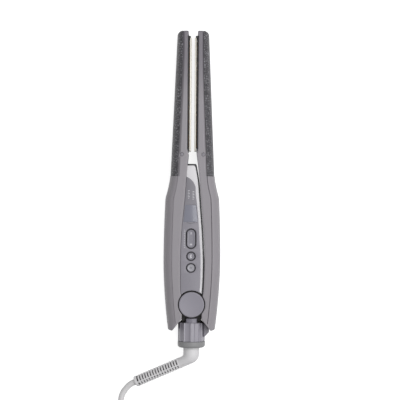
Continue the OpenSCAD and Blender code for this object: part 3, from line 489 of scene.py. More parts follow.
def smooth_path(points, step):
    """Points about step apart along a smooth curve through the given ones."""
    knots = [Vector(p) for p in points]
    path = []
    for i in range(len(knots) - 1):
        a, b = knots[i], knots[i + 1]
        before = knots[i - 1] if i > 0 else a - (b - a)
        after = knots[i + 2] if i + 2 < len(knots) else b + (b - a)
        pieces = max(1, round((b - a).length / step))
        for k in range(pieces):
            t = k / pieces
            path.append(0.5 * (
                2 * a + (b - before) * t + (2 * before - 5 * a + 4 * b - after) * t * t
                + (3 * a - before - 3 * b + after) * t ** 3))
    return path + [knots[-1]]


# Lead: the route beyond the strain relief, the coil and the run to the plug
CORD_D = 6
CORD_ROUTE = [
    (-56, -80.2, 5), (-60.5, -82.3, 4.1), (-65.6, -87.2, 3.2), (-69.3, -93.1, 3), (-70.8, -100, 3),
    (-72, -110, 3), (-73.4, -121, 3.1), (-74.6, -132, 3.3), (-75, -144, 3.5),
]
TAIL_ROUTE = [
    (-33.5, -185.5, 9.5), (-20, -185.5, 9.5), (-8, -185.8, 8.8), (4, -186.3, 7.2), (15.8, -186.5, 6.6),
]
COIL_CENTRE = (-33.5, -144)
COIL_OUTER, COIL_ROWS, COIL_Z, TURN_STEPS = 41.5, 4, 3.5, 40
STEP_ZONE, RISE_START, RISE_END = 50 / 360, 270 / 360, 330 / 360


def ease(t):
    """A soft start and a soft stop between nought and one."""
    t = min(1, max(0, t))
    return t * t * (3 - 2 * t)


def coil_point(turn):
    """Centre line of the coil after so many turns: inward along the floor, then outward on top."""
    def radius(k):
        row = k if k < COIL_ROWS else 2 * COIL_ROWS - 1 - k
        return COIL_OUTER - CORD_D * max(0, row)
    whole = min(int(turn), 2 * COIL_ROWS)
    part = turn - whole
    shift = ease((part - 1 + STEP_ZONE) / STEP_ZONE)
    r = COIL_OUTER
    if whole < 2 * COIL_ROWS - 1:
        r = radius(whole) + (radius(whole + 1) - radius(whole)) * shift
    lift = 0
    if whole == COIL_ROWS - 1:
        lift = ease((part - RISE_START) / (RISE_END - RISE_START))
    elif whole >= COIL_ROWS:
        lift = 1
    angle = math.pi * (1 + 2 * turn)
    x, y = COIL_CENTRE
    return Vector((x + r * math.cos(angle), y + r * math.sin(angle), COIL_Z + CORD_D * lift))


def make_lead():
    """The whole lead as one tube, with its path and its length in metres."""
    turns = 2 * COIL_ROWS + 0.25
    count = round(turns * TURN_STEPS)
    coil = [coil_point(turns * k / count) for k in range(1, count)]
    path = smooth_path(CORD_ROUTE, 2) + coil + smooth_path(TAIL_ROUTE, 2)
    cord = tube_piece("lead", path, CORD_D / 2, "cord", 20)
    dress(cord, "hub", "cord", "cord_tube", "cord_coil", "cord_tail")
    length = sum((b - a).length for a, b in zip(path, path[1:])) * MM
    return cord, path, length


lead, lead_path, lead_length = make_lead()


# Plug at the end of the lead: a ribbed strain relief, a moulded body with a grip and two blades
PLUG_LOW, PLUG_HIGH = node_box("plug_body")
PLUG_RELIEF = 15
PLUG_AT = Vector((PLUG_LOW[0], (PLUG_LOW[1] + PLUG_HIGH[1]) / 2, (PLUG_LOW[2] + PLUG_HIGH[2]) / 2))


def make_plug():
    """The moulded body with a waist to grip it by, and its own ribbed strain relief."""
    along = matrix_to(PLUG_AT, (1, 0, 0))
    profile = [(0, 0.1), (3.4, 0.1)]
    rib_count = 5
    for i in range(rib_count):
        start, r = 1 + i * 2.8, 4.1 + 0.22 * i
        profile += [(r - 0.7, start - 0.3), (r, start), (r + 0.1, start + 1.5), (r - 0.6, start + 1.8)]
    profile += [(5, PLUG_RELIEF), (0, PLUG_RELIEF)]
    relief = lathe_piece("plug_relief", profile, along, "cord", 48)
    half = (PLUG_HIGH[1] - PLUG_LOW[1]) / 2
    thick = PLUG_HIGH[2] - PLUG_LOW[2]
    length = PLUG_HIGH[0] - PLUG_LOW[0] - PLUG_RELIEF
    rings = []
    for s in [0, 0.02, 0.06, 0.12] + [0.2 + 0.05 * k for k in range(13)] + [0.86, 0.93, 0.98, 1]:
        grip = 0.8 * math.exp(-((s - 0.3) / 0.16) ** 2)
        round_off = 1.2 * (1 - min(1, min(s, 1 - s) / 0.06)) ** 2
        w, t = half - grip - round_off, thick / 2 - 0.5 * grip - round_off
        section = stadium(0, 0, 2 * w, 2 * t, 20)
        rings.append([PLUG_AT + Vector((PLUG_RELIEF + length * s, y, z)) for z, y in section])
    body = ring_piece("plug_shell", rings, RIGHT, "cord")
    dress(join("plug", [body, relief]), "hub", "cord", "plug_body")


def make_blades():
    """Two flat blades with clipped tips and an eye near each end."""
    low, high = node_box("plug_blades")
    thick, tip, centre = 1.5, 1.6, (low[2] + high[2]) / 2
    outline = [
        (low[0], low[2]), (high[0] - tip, low[2]), (high[0], low[2] + tip), (high[0], high[2] - tip),
        (high[0] - tip, high[2]), (low[0], high[2]),
    ]
    eye = circle(high[0] - 4, centre, 3.2, 24)
    parts = []
    for y in (low[1] + thick / 2, high[1] - thick / 2):
        blade = outline_piece("blade", [outline, eye], -thick / 2, thick / 2, 0.2, "brass")
        blade.data.transform(Matrix.Translation((0, y * MM, 0)) @ Matrix.Rotation(math.pi / 2, 4, "X"))
        parts.append(blade)
    dress(join("plug_prongs", parts), "hub", "blades", "plug_blades")


def make_tie():
    """Cable tie that wraps the coil's section, with its small head on the outer side."""
    low, high = node_box("cord_tie")
    thick, r = 0.5, 2.2
    x0, z0 = low[0] + thick / 2, low[2] + thick / 2
    x1, z1 = high[0] - thick / 2, high[2] - thick / 2
    corners = [(x0 + r, z0 + r, 180), (x1 - r, z0 + r, 270), (x1 - r, z1 - r, 0), (x0 + r, z1 - r, 90)]
    loops = [
        [p for cx, cz, start in corners for p in arc(cx, cz, reach, range(start, start + 91, 15))]
        for reach in (r, r - thick)
    ]
    width = (high[1] - low[1]) * 0.6
    band = outline_piece("tie_band", loops, -width / 2, width / 2, 0.08, "trim")
    block = [(x0, z1 - 5), (x0 + 2.2, z1 - 5), (x0 + 2.2, z1 - 1.5), (x0, z1 - 1.5)]
    head = outline_piece("tie_head", [block], -width / 2 - 0.8, width / 2 + 0.8, 0.3, "trim")
    middle = Matrix.Translation((0, (low[1] + high[1]) / 2 * MM, 0))
    for piece in (band, head):
        piece.data.transform(middle @ Matrix.Rotation(math.pi / 2, 4, "X"))
    dress(join("lead_tie", [band, head]), "hub", "trim", "cord_tie")


make_plug()
make_blades()
make_tie()


# Outline of the arms: half widths in millimetres at heights above the hinge
TIP_HALF, FOOT_HALF, SHOULDER_HALF, BELLY_HALF, FIN_HALF = 15.7, 21.9, 26.9, 28.4, 23.4
PANEL_FOOT_Y, SHOULDER_Y, BELLY_Y = 127, 105, 45
FIN_Y = node_box("left_casing")[0][1]
BARREL_EDGE, EDGE_TAPER, HANDLE_EDGE, HOLLOW_EDGE = 7.3, 1.9, 8, 5
BARREL_STEP, EDGE_LEAN = 0.4, 0.4
TIP_R, TIP_ROUND_Z, MOUTH_R = 3.5, 2, 1.5
WALL, BARREL_WALL = 2.2, 1.4
PANEL_T, PANEL_GAP = 1.6, 0.05
PLATE_LOW, PLATE_HIGH = node_box("right_plate")
PLATE_FOOT_Y, PLATE_TOP_Y = PLATE_LOW[1], PLATE_HIGH[1]
HUB_R, HUB_TOP_Y = 13.45, 14

LEFT_LAND = [
    (-30, 9.5), (5, 9.8), (14, 10.9), (39, 11.25), (61, 10.9), (82, 9.5), (103.4, 7.4), (126.6, 5.8),
    (150.5, 3.75),
]
RIGHT_LAND = [
    (-30, 9.8), (5, 10.4), (14, 11.7), (44, 12.55), (73, 11.2), (99, 9), (121, 7.3), (138, 5.5),
    (150.5, 3.8),
]
TRIM_LINE = [
    (8, 11.3), (20.8, 12.1), (34.3, 12.5), (44.1, 12.45), (72.8, 11.05), (98.9, 8.9), (121.3, 7.05),
    (135.4, 4.75), (139.2, 3.8),
]
PANEL_LINE = [
    (12.6, 7.9), (30.4, 8.6), (52, 8.4), (62, 7.57), (74.8, 6.9), (92.6, 5.38), (101.5, 4.43),
    (110.3, 3.28), (115.3, 3.24),
]


def curve_at(table, y):
    """Smooth curve through a table's knots at height y."""
    k = next((i for i in range(len(table) - 1) if y <= table[i + 1][0]), len(table) - 2)

    def slope(i):
        a, b = max(i - 1, 0), min(i + 1, len(table) - 1)
        return (table[b][1] - table[a][1]) / (table[b][0] - table[a][0])
    (low_y, low), (high_y, high) = table[k], table[k + 1]
    span = high_y - low_y
    s = (y - low_y) / span
    return (
        low * (1 + 2 * s) * (1 - s) ** 2 + slope(k) * span * s * (1 - s) ** 2
        + high * s * s * (3 - 2 * s) + slope(k + 1) * span * s * s * (s - 1))


def round_in(end, r, angles):
    """Heights along a corner of radius r that ends at a height, from its side at 0 to its end at 90."""
    return [end - r * (1 - math.sin(math.radians(a))) for a in angles]


def rounded(reach, r):
    """How far a corner of radius r has come in at a reach beyond its start."""
    return r - math.sqrt(max(0, r * r - reach * reach)) if reach > 0 else 0


def draw_in(y, r):
    """How far the arms' tips come in at height y, with a corner of radius r."""
    return rounded(y - TIP_Y + r, r)


def barrel_half(y):
    """Half width of the straight, tapering barrel."""
    return TIP_HALF + (FOOT_HALF - TIP_HALF) * (TIP_Y - y) / (TIP_Y - PANEL_FOOT_Y)


def half_width(y):
    """Half width of the arms: the barrel, the shoulder, the belly and the run to the fins."""
    if y >= PANEL_FOOT_Y:
        return barrel_half(y) - draw_in(y, TIP_R)
    if y >= SHOULDER_Y:
        start, share = FOOT_HALF + BARREL_STEP, (PANEL_FOOT_Y - y) / (PANEL_FOOT_Y - SHOULDER_Y)
        return start + (SHOULDER_HALF - start) * share ** 1.4
    if y >= BELLY_Y:
        share = (y - BELLY_Y) / (SHOULDER_Y - BELLY_Y)
        return BELLY_HALF - (BELLY_HALF - SHOULDER_HALF) * share ** 1.8
    share = (BELLY_Y - y) / (BELLY_Y - FIN_Y)
    return BELLY_HALF - (BELLY_HALF - FIN_HALF) * share ** 1.85


def edge_width(y):
    """Width of the rounded edge between the flat face and the outside."""
    if y >= PANEL_FOOT_Y:
        return BARREL_EDGE - EDGE_TAPER * ((y - PANEL_FOOT_Y) / (TIP_Y - PANEL_FOOT_Y)) ** 4
    share = min(1, (PANEL_FOOT_Y - y) / (PANEL_FOOT_Y - SHOULDER_Y))
    return BARREL_EDGE + (HANDLE_EDGE - BARREL_EDGE) * share


def crease_x(y):
    """Place of the crease, where the flat face ends."""
    return (barrel_half(y) if y >= PANEL_FOOT_Y else half_width(y)) - edge_width(y)


def rise(y, s, inset, width):
    """Height of the rounded edge above the middle plane, where s is 1 at the crease and 0 outside."""
    h = MID_Z - inset - draw_in(y, TIP_ROUND_Z)
    return s * s * h + 2 * (1 - s) * s * (h - EDGE_LEAN * width)


def edge_height(x, y, outside, inset, width):
    """Height of the front of a rounded edge that ends outside at x = outside."""
    return MID_Z + rise(y, math.sqrt(max(0, (outside - x) / width)), inset, width)


def edge_arc(y, inset, start_x):
    """Inner side of a rounded edge as (x, height), from the rear to the front."""
    outside, count = half_width(y) - inset, 8
    width = outside - start_x
    points = []
    for i in range(-count, count + 1):
        s = abs(i) / count
        points.append((outside - width * s * s, MID_Z + math.copysign(rise(y, s, inset, width), i)))
    return points


# Casings: C-shaped shells with a flat face, a rounded outside and an open inner side
PANEL_INSET = PANEL_T + PANEL_GAP
LIP_R = 0.6
FIN_START, FIN_INNER, FIN_TIP_X, FIN_CORNER = (7.6, -11.5), (18.4, 0.7), 19.6, 1.2
LAND_TOP_Y, MOUTH_Y, MOUTH_X, MOUTH_STEP = 149, PLATE_FOOT_Y + 2, 5.35, 0.85
CREASE_DEEP, CREASE_WIDE = {LEFT: 0.6, RIGHT: 1.1}, 0.45
LAND_LINE_AT, LAND_LINE_DEEP = 1.5, 0.3
CAP_Y, END_WALL = TIP_Y - PANEL_INSET, 2
ARC_STEPS = 14


def inner_edge(y, side):
    """Inner edge of a casing: beside the plates, along the pod, round the hub and down the fin."""
    table = LEFT_LAND if side == LEFT else RIGHT_LAND
    if y >= MOUTH_Y:
        return MOUTH_X - (MOUTH_STEP if y > PLATE_TOP_Y + 2 else 0) + draw_in(y, MOUTH_R)
    if y > LAND_TOP_Y:
        start = curve_at(table, LAND_TOP_Y)
        return start + (MOUTH_X - start) * (y - LAND_TOP_Y) / (MOUTH_Y - LAND_TOP_Y)
    x = curve_at(table, y)
    if abs(y) < HUB_R:
        x = max(x, math.sqrt(HUB_R ** 2 - y * y))
    if y < FIN_START[1]:
        fall = (FIN_START[1] - y) / (FIN_START[1] - FIN_Y - FIN_INNER[1])
        corner = max(0, FIN_Y + FIN_INNER[1] - y) / FIN_INNER[1]
        x = max(x, FIN_START[0] + min(1, fall) * (FIN_INNER[0] - FIN_START[0]))
        x += (FIN_TIP_X - FIN_INNER[0]) * corner ** 2
    return x


def outer_edge(y):
    """Half width of a casing, with the fin's outer corner rounded."""
    return half_width(y) - rounded(FIN_Y + FIN_CORNER - y, FIN_CORNER)


def casing_half(y, side, barrel, capped):
    """Front half of a casing's section, from the inner lip to the outermost point."""
    inset = PANEL_INSET if barrel else 0
    x_in, w = inner_edge(y, side), outer_edge(y) - inset
    face = DEPTH - draw_in(y, TIP_ROUND_Z)
    ledge = crease_x(y) - (PANEL_GAP if barrel else 0)
    width = w - ledge
    r = min(LIP_R, (w - x_in) / 2.2)
    start = x_in + r

    def top(x):
        return face if x <= ledge else edge_height(x, y, w, inset, width)
    points = []
    for a in (0, 30, 60, 90):
        x = x_in + r - r * math.cos(math.radians(a))
        points.append((x, top(x) - r + r * math.sin(math.radians(a))))
    groove = 0 if capped else LAND_LINE_DEEP if barrel else CREASE_DEEP[side]
    wide = (LAND_LINE_AT if barrel else CREASE_WIDE) if ledge - start > 2.5 else 0
    brink = max(start, ledge - wide - (CREASE_WIDE if wide else 0))
    for t in (0.25, 0.5, 0.75, 0.95, 1):
        x = start + (brink - start) * t
        points.append((x, top(x)))
    bed = max(start, ledge - wide)
    points.append((bed, top(bed) - (groove if wide else 0)))
    for s in steps(1, 0, ARC_STEPS):
        x = max(start, w - width * s * s)
        points.append((min(x, ledge) if capped else x, edge_height(x, y, w, inset, width)))
    return points


def casing_section(y, side, barrel=False, closed=False, capped=False):
    """Whole section of a casing: open toward the other arm, closed by the end wall, or capped."""
    front = casing_half(y, side, barrel, capped)
    outside = front + [(x, DEPTH - z) for x, z in reversed(front[:-1])]
    face = DEPTH - draw_in(y, TIP_ROUND_Z)
    high, x_in = face - WALL, inner_edge(y, side)
    inset = PANEL_INSET + BARREL_WALL if barrel else WALL
    hollow = half_width(y) - inset - (HOLLOW_EDGE if y >= PANEL_FOOT_Y - 2 else edge_width(y))
    edge = edge_arc(y, inset, hollow)
    inside = [(x_in, DEPTH - high), (hollow - 0.3, DEPTH - high)] + edge
    inside += [(hollow - 0.3, high), (x_in, high)]
    inside = [(max(x, x_in), z) for x, z in inside]
    if closed:
        inside = [(x_in, z) for z in steps(DEPTH - high, high, len(inside) - 1)]
    return [(x, y, z) for x, z in outside + inside]


def casing_rows(side):
    """Sections of a casing from the fin's foot to the tip, closest where it curves most."""
    def spread(low, high, step):
        return steps(low, high, max(1, round((high - low) / step)))[:-1]
    hub = [-HUB_R * math.cos(math.pi * k / 40) for k in range(41)]
    below = [FIN_Y + d for d in (0, 0.1, 0.3, 0.7, 1.2)] + spread(FIN_Y + 1.8, FIN_START[1], 0.8)
    ys = sorted({round(y, 3) for y in below + spread(FIN_START[1], HUB_TOP_Y, 0.9) + hub})
    ys += spread(HUB_TOP_Y, PANEL_FOOT_Y - 0.6, 2.5) + [PANEL_FOOT_Y - 0.6, PANEL_FOOT_Y - 0.25]
    rows = [casing_section(y, side) for y in ys]
    rows.append(casing_section(PANEL_FOOT_Y - 0.02, side))
    barrel = [PANEL_FOOT_Y, PANEL_FOOT_Y + 1] + spread(PANEL_FOOT_Y + 3, LAND_TOP_Y, 3)
    barrel += [LAND_TOP_Y, LAND_TOP_Y + 2, LAND_TOP_Y + 4, MOUTH_Y]
    barrel += spread(MOUTH_Y + 3, PLATE_TOP_Y + 1.9, 12)
    barrel += [PLATE_TOP_Y + 1.9, PLATE_TOP_Y + 2.1, CAP_Y - END_WALL - 0.1]
    rows += [casing_section(y, side, barrel=True) for y in barrel]
    rows += [casing_section(y, side, True, True) for y in (CAP_Y - END_WALL, CAP_Y - 1, CAP_Y - 0.1)]
    rim = round_in(TIP_Y, MOUTH_R, (20, 40, 60, 75, 90))
    return rows + [casing_section(y, side, True, True, True) for y in [CAP_Y] + rim]


def cut(piece, cutter):
    """Takes a closed cutter out of a piece and removes the cutter."""
    modifier = piece.modifiers.new("cut", "BOOLEAN")
    modifier.operation, modifier.solver, modifier.object = "DIFFERENCE", "EXACT", cutter
    graph = bpy.context.evaluated_depsgraph_get()
    mesh = bpy.data.meshes.new_from_object(piece.evaluated_get(graph))
    piece.modifiers.clear()
    piece.data = mesh
    bpy.data.objects.remove(cutter)
    return piece


COVER_AT, COVER_R = (10.6, 148.5), 1.75


def drill(piece, x, y, radius, low, high):
    """A round hole along Z."""
    place = Matrix.Translation((x, y, low))
    return cut(piece, lathe_piece("drill", rod(radius, high - low), place, "hollow", 40))


def make_casing(side, label):
    """A casing with a hollow inside and a hole for its screw cover."""
    outer_run = 2 * len(casing_half(0, side, False, False)) - 1
    # The inner faces take the dark finish: painted shade inside the hollow casing
    shell = ring_piece(
        label + "_shell", casing_rows(side), side, "casing", inner=("hollow", outer_run))
    drill(shell, side * COVER_AT[0], COVER_AT[1], COVER_R + 0.1, DEPTH - WALL - 0.6, DEPTH + 1)
    dress(shell, label + "_arm", "casing", label + "_casing")


# Heat panels: dark skins over the barrels, softened along every edge and closed at the tip
PANEL_SOFT = 0.45


def panel_section(y, closed):
    """Section of a heat panel: a skin, or closed at its inner edge near the tip."""
    edge = crease_x(y)
    sink = rounded(PANEL_FOOT_Y + PANEL_GAP + PANEL_SOFT - y, PANEL_SOFT)
    w, face = half_width(y) - sink, MID_Z - sink - draw_in(y, TIP_ROUND_Z)
    width = w - edge
    front = [
        (x, edge_height(x, y, w, sink, width) - drop)
        for x, drop in arc(edge + PANEL_SOFT, PANEL_SOFT, PANEL_SOFT, (180, 210, 240))
    ]
    for s in steps(1, 0, 23):
        x = max(edge + PANEL_SOFT, w - width * s * s)
        front.append((x, edge_height(x, y, w, sink, width)))
    outside = front + [(x, DEPTH - z) for x, z in reversed(front[:-1])]
    rear = MID_Z - face + PANEL_T
    inside = edge_arc(y, PANEL_T, edge)
    if closed:
        inside = [(edge, z) for z in steps(rear, DEPTH - rear, len(inside) - 1)]
    return [(x, y, z) for x, z in outside + inside]


def make_heat_panel(side, label):
    """A heat panel from its soft foot to its rounded tip."""
    foot = PANEL_FOOT_Y + PANEL_GAP
    low = round_in(foot, -PANEL_SOFT, (90, 70, 50, 30, 0))
    body = steps(foot + 1, TIP_Y - TIP_R, 24)
    end = round_in(TIP_Y, TIP_R, (5, 15, 25))
    rows = [panel_section(y, False) for y in low + body + end + [TIP_Y - PANEL_T]]
    top = round_in(TIP_Y, TIP_ROUND_Z, (25, 40, 55, 70, 80, 90))
    rows += [panel_section(y, True) for y in [TIP_Y - PANEL_T + 0.1] + top]
    panel = ring_piece(label + "_heat_skin", rows, side, "heat_panel")
    dress(panel, label + "_arm", "heat_panel", label + "_heat_panel")


for arm_side, arm_label in ARMS:
    make_casing(arm_side, arm_label)
    make_heat_panel(arm_side, arm_label)


# Screw covers: low domed plugs in the casings
def make_screw_cover(side, label):
    profile = [(0, 0), (COVER_R - 0.02, 0), (COVER_R - 0.02, 0.75), (COVER_R - 0.25, 0.98)]
    profile += [(1.2, 1.06), (0.6, 1.1), (0, 1.12)]
    place = Matrix.Translation((side * COVER_AT[0], COVER_AT[1], DEPTH - 1.15))
    plug = lathe_piece(label + "_screw_plug", profile, place, "casing_edge", 48)
    dress(plug, label + "_arm", "panel_grey", label + "_screw_covers")


# Plates: coated slabs with rounded faces, seen edge on
def make_plate(side, label):
    x0, x1 = PLATE_LOW[0], PLATE_HIGH[0]
    half = (PLATE_HIGH[2] - PLATE_LOW[2]) / 2
    r, chamfer, back = 0.7, 0.3, x1 - 0.5

    def section(shrink):
        corner = arc(x0 + r, half - r, r, range(180, 89, -15))
        front = [(max(x, x0 + shrink), min(z, half - shrink)) for x, z in corner + [(back, half)]]
        return front + [(x, -z) for x, z in reversed(front)]
    ends = [(0, chamfer), (0.1, 0.15), (chamfer, 0)]
    rows = [(PLATE_FOOT_Y + d, shrink) for d, shrink in ends]
    rows += [(PLATE_TOP_Y - d, shrink) for d, shrink in reversed(ends)]
    rings = [[(x, y, MID_Z + z) for x, z in section(shrink)] for y, shrink in rows]
    slab = ring_piece(label + "_coated_plate", rings, side, "plate")
    corners = [(back, PLATE_FOOT_Y), (x1, PLATE_FOOT_Y), (x1, PLATE_TOP_Y), (back, PLATE_TOP_Y)]
    tray = outline_piece(
        label + "_plate_tray", [corners], MID_Z - half + 0.4, MID_Z + half - 0.4, 0.1, "carrier", side)
    slab = join(label + "_coated_plate", [slab, tray])
    dress(slab, label + "_plate_body", "plate", label + "_plate")


for arm_side, arm_label in ARMS:
    make_screw_cover(arm_side, arm_label)
    make_plate(arm_side, arm_label)


# Control pod: a white housing, its black trim and the grey panels on its two faces
POD_LOW, POD_HIGH = node_box("pod_housing")
TRIM_HIGH = node_box("pod_trim")[1]
POD_REAR, POD_FRONT, POD_TOP_Y = POD_LOW[2], POD_HIGH[2], TRIM_HIGH[1]
PANEL_FRONT = node_box("control_panel")[1][2]
TRIM_W, POD_FOOT_R, POD_LEFT_SHIFT = 1.5, HUB_R + 0.85, 2.8
PANEL_ARC = [(3.24, 115.3), (3.02, 117), (1.93, 119.6), (0.7, 121.6), (-0.76, 123.2), (-2.7, 124.8)]


def foot_arc(radius, x_from, x_to):
    """Points of the round foot above the hub, between one side and the other."""
    a, b = (math.degrees(math.acos(max(-1, min(1, x / radius)))) for x in (x_from, x_to))
    return arc(0, 0, radius, steps(a, b, 24)[1:-1])


def meets(radius, table, shift, side):
    """Place where a side line reaches the round foot."""
    low, high = 0, radius + 2
    for _ in range(40):
        y = (low + high) / 2
        x = curve_at(table, y) + shift
        low, high = (y, high) if x * x + y * y < radius * radius else (low, y)
    return side * (curve_at(table, high) + shift), high


def pod_outline(inset, left_shift):
    """Outline of the pod from its lower right, up, over its corner and down its left side."""
    right_x, right_y = meets(POD_FOOT_R, TRIM_LINE, -inset, 1)
    left_x, left_y = meets(POD_FOOT_R, LEFT_LAND, left_shift, -1)
    right = [(curve_at(TRIM_LINE, y) - inset, y) for y in steps(right_y, POD_TOP_Y - 3.8, 60)]
    corner = [
        (curve_at(TRIM_LINE, POD_TOP_Y - 1.9) - inset * 1.05, POD_TOP_Y - 1.9 - inset * 0.4),
        (curve_at(TRIM_LINE, POD_TOP_Y - 0.9) - inset * 1.1, POD_TOP_Y - 0.9 - inset * 0.8),
        (curve_at(TRIM_LINE, POD_TOP_Y - 0.4) - 0.35 - inset * 1.1, POD_TOP_Y - 0.25 - inset * 0.95),
        (3 - inset, POD_TOP_Y - inset),
    ]
    top_left = [(-(curve_at(LEFT_LAND, POD_TOP_Y) + left_shift), POD_TOP_Y - inset)]
    left = [(-(curve_at(LEFT_LAND, y) + left_shift), y) for y in reversed(steps(left_y, 130, 50))]
    return right + corner + top_left + left + foot_arc(POD_FOOT_R, left_x, right_x)


def make_pod():
    """The white tub of the pod and the black band over its top and down its right side."""
    outline = pod_outline(TRIM_W + 0.05, POD_LEFT_SHIFT)
    cavity = [(curve_at(PANEL_LINE, y) - 0.4, y) for y in steps(18, 112, 40)] + [(1, 119), (-4, 121)]
    cavity += [(-(curve_at(LEFT_LAND, y) - 0.4), y) for y in reversed(steps(18, 112, 40))]
    floor = outline_piece("pod_floor", [outline], POD_REAR, POD_REAR + 2, 0.3, "pod")
    walls = outline_piece("pod_walls", [outline, cavity], POD_REAR + 2, POD_FRONT, 0.25, "pod")
    dress(join("pod_shell", [walls, floor]), "left_arm", "pod_white", "pod_housing")
    outer = pod_outline(0, POD_LEFT_SHIFT - 0.1)
    inner = pod_outline(TRIM_W, POD_LEFT_SHIFT + 3)
    top = next(i for i, p in enumerate(outer) if p[1] == POD_TOP_Y)
    inner_top = next(i for i, p in enumerate(inner) if p[1] == POD_TOP_Y - TRIM_W)
    left_x = outer[top + 1][0]
    band = outer[:top + 1] + [(left_x, POD_TOP_Y), (left_x, POD_TOP_Y - TRIM_W)]
    band += list(reversed(inner[:inner_top + 1]))
    trim = outline_piece("pod_band", [band], POD_REAR, POD_FRONT + 0.3, 0.25, "trim")
    dress(trim, "left_arm", "trim", "pod_trim")


ROCKER_LOW, ROCKER_HIGH = node_box("rocker")
BUTTONS_X = (ROCKER_LOW[0] + ROCKER_HIGH[0]) / 2
ROCKER_Y = (ROCKER_LOW[1] + ROCKER_HIGH[1]) / 2
ROCKER_LEN, ROCKER_W = 17.8, 8
MODE_D, POWER_D, BUTTON_GAP = 6.9, 7.2, 1.3
MODE_Y, POWER_Y = (
    (node_box(n)[0][1] + node_box(n)[1][1]) / 2 for n in ("mode_button", "power_button"))
WINDOW_LOW, WINDOW_HIGH = node_box("display_window")
WINDOW_FOOT_Y, WINDOW_TOP_Y = WINDOW_LOW[1] - 0.05, WINDOW_HIGH[1] + 0.05
PANEL_LAND_GAP, WINDOW_MARGIN = 0.22, 0.8


def leaf_outline():
    """Outline of the leaf-shaped panels, from their lower right round to their foot."""
    foot_r = HUB_R + 0.55
    right_x, right_y = meets(foot_r, PANEL_LINE, 0, 1)
    left_x, left_y = meets(foot_r, LEFT_LAND, -PANEL_LAND_GAP, -1)
    right = [(curve_at(PANEL_LINE, y), y) for y in steps(right_y, 114, 60)]
    left = [(-(curve_at(LEFT_LAND, y) - PANEL_LAND_GAP), y) for y in reversed(steps(left_y, 126.4, 60))]
    return right + PANEL_ARC + left + foot_arc(foot_r, left_x, right_x)


def window_outline(inset):
    """Outline of the window, which follows both sides of the leaf."""
    ys = steps(WINDOW_FOOT_Y + inset, WINDOW_TOP_Y - inset, 12)
    right = [(curve_at(PANEL_LINE, y) - WINDOW_MARGIN - inset, y) for y in ys]
    shift = PANEL_LAND_GAP + WINDOW_MARGIN + inset
    return right + [(-(curve_at(LEFT_LAND, y) - shift), y) for y in reversed(ys)]


def make_panels():
    """The two faces of the pod and the window, with openings round the window and each button."""
    room = 2 * BUTTON_GAP
    outlines = [
        leaf_outline(), window_outline(0),
        stadium(BUTTONS_X, ROCKER_Y, ROCKER_LEN + room, ROCKER_W + room, 24),
        circle(BUTTONS_X, MODE_Y, MODE_D + room), circle(BUTTONS_X, POWER_Y, POWER_D + room),
    ]
    panel = outline_piece("leaf_panel", outlines, POD_FRONT, PANEL_FRONT, 0.3, "panel")
    dress(panel, "left_arm", "panel_grey", "control_panel")
    back = outline_piece("rear_leaf_panel", [leaf_outline()], 0, POD_REAR, 0.5, "panel")
    dress(back, "left_arm", "panel_grey", "rear_panel")
    pane = outline_piece(
        "display_pane", [window_outline(0.05)], WINDOW_LOW[2], WINDOW_HIGH[2], 0.08, "window")
    dress(pane, "left_arm", "window", "display_window")


make_pod()
make_panels()


# Rocker and round buttons: dished caps over skirts, darkened as painted shade, that close the gaps round
# them
BUTTON_TOP, DISH = ROCKER_HIGH[2], 0.35
ROCKER_FOOT = ROCKER_LOW[2] + 0.4
SKIRT_RIM = BUTTON_GAP + 0.5


def cap_steps(foot):
    """Insets and heights of a button's side, rounded rim and dished top."""
    drops = [(0, 0.55), (0.06, 0.28), (0.22, 0.08), (0.5, 0), (0.8, 0.04), (1.15, DISH * 0.6),
             (1.6, DISH), (2.4, DISH)]
    return [(0, foot)] + [(inset, BUTTON_TOP - drop) for inset, drop in drops]


def stroke(path, width):
    """Outline of a printed line of one width."""
    points = [Vector(p) for p in path]
    sides = [[], []]
    for i, point in enumerate(points):
        ahead = (points[min(i + 1, len(points) - 1)] - points[max(i - 1, 0)]).normalized()
        across = Vector((-ahead.y, ahead.x)) * width / 2
        sides[0].append(tuple(point + across))
        sides[1].append(tuple(point - across))
    return sides[0] + sides[1][::-1]


def printed(name, outlines, z, ink):
    """Thin marks of ink on a face at height z."""
    return join(name, [outline_piece(name, [o], z, z + 0.05, 0.01, ink) for o in outlines])


def make_rocker():
    """The oblong cap with its skirt, its axle and a minus and a plus."""
    skirt_top = ROCKER_FOOT + 1
    around = stadium(BUTTONS_X, ROCKER_Y, ROCKER_LEN + 2 * SKIRT_RIM, ROCKER_W + 2 * SKIRT_RIM, 24)
    skirt = outline_piece("rocker_skirt", [around], ROCKER_FOOT, skirt_top, 0.15, "skirt")
    rings = []
    for inset, z in cap_steps(skirt_top - 0.1):
        outline = stadium(BUTTONS_X, ROCKER_Y, ROCKER_LEN - 2 * inset, ROCKER_W - 2 * inset, 24)
        rings.append([(x, y, z) for x, y in outline])
    cap = ring_piece("rocker_cap", rings, RIGHT, "button")
    reach = (ROCKER_HIGH[0] - ROCKER_LOW[0]) / 2
    axle = matrix_to((BUTTONS_X - reach, ROCKER_Y, ROCKER_FOOT + 0.3), (1, 0, 0))
    pin = lathe_piece("rocker_pin", rod(0.7, 2 * reach), axle, "skirt", 24)
    minus = stroke([(BUTTONS_X, ROCKER_Y + 4.2), (BUTTONS_X, ROCKER_Y + 6.8)], 0.6)
    plus = [(BUTTONS_X + x, ROCKER_Y - 5.6 + y) for x, y in [
        (0.3, 0.3), (0.3, 1.3), (-0.3, 1.3), (-0.3, 0.3), (-1.3, 0.3), (-1.3, -0.3),
        (-0.3, -0.3), (-0.3, -1.3), (0.3, -1.3), (0.3, -0.3), (1.3, -0.3), (1.3, 0.3)]]
    ink = printed("rocker_marks", [minus, plus], BUTTON_TOP - DISH, "ink")
    dress(join("temperature_rocker", [cap, skirt, pin, ink]), "rocker_body", "panel_grey", "rocker")


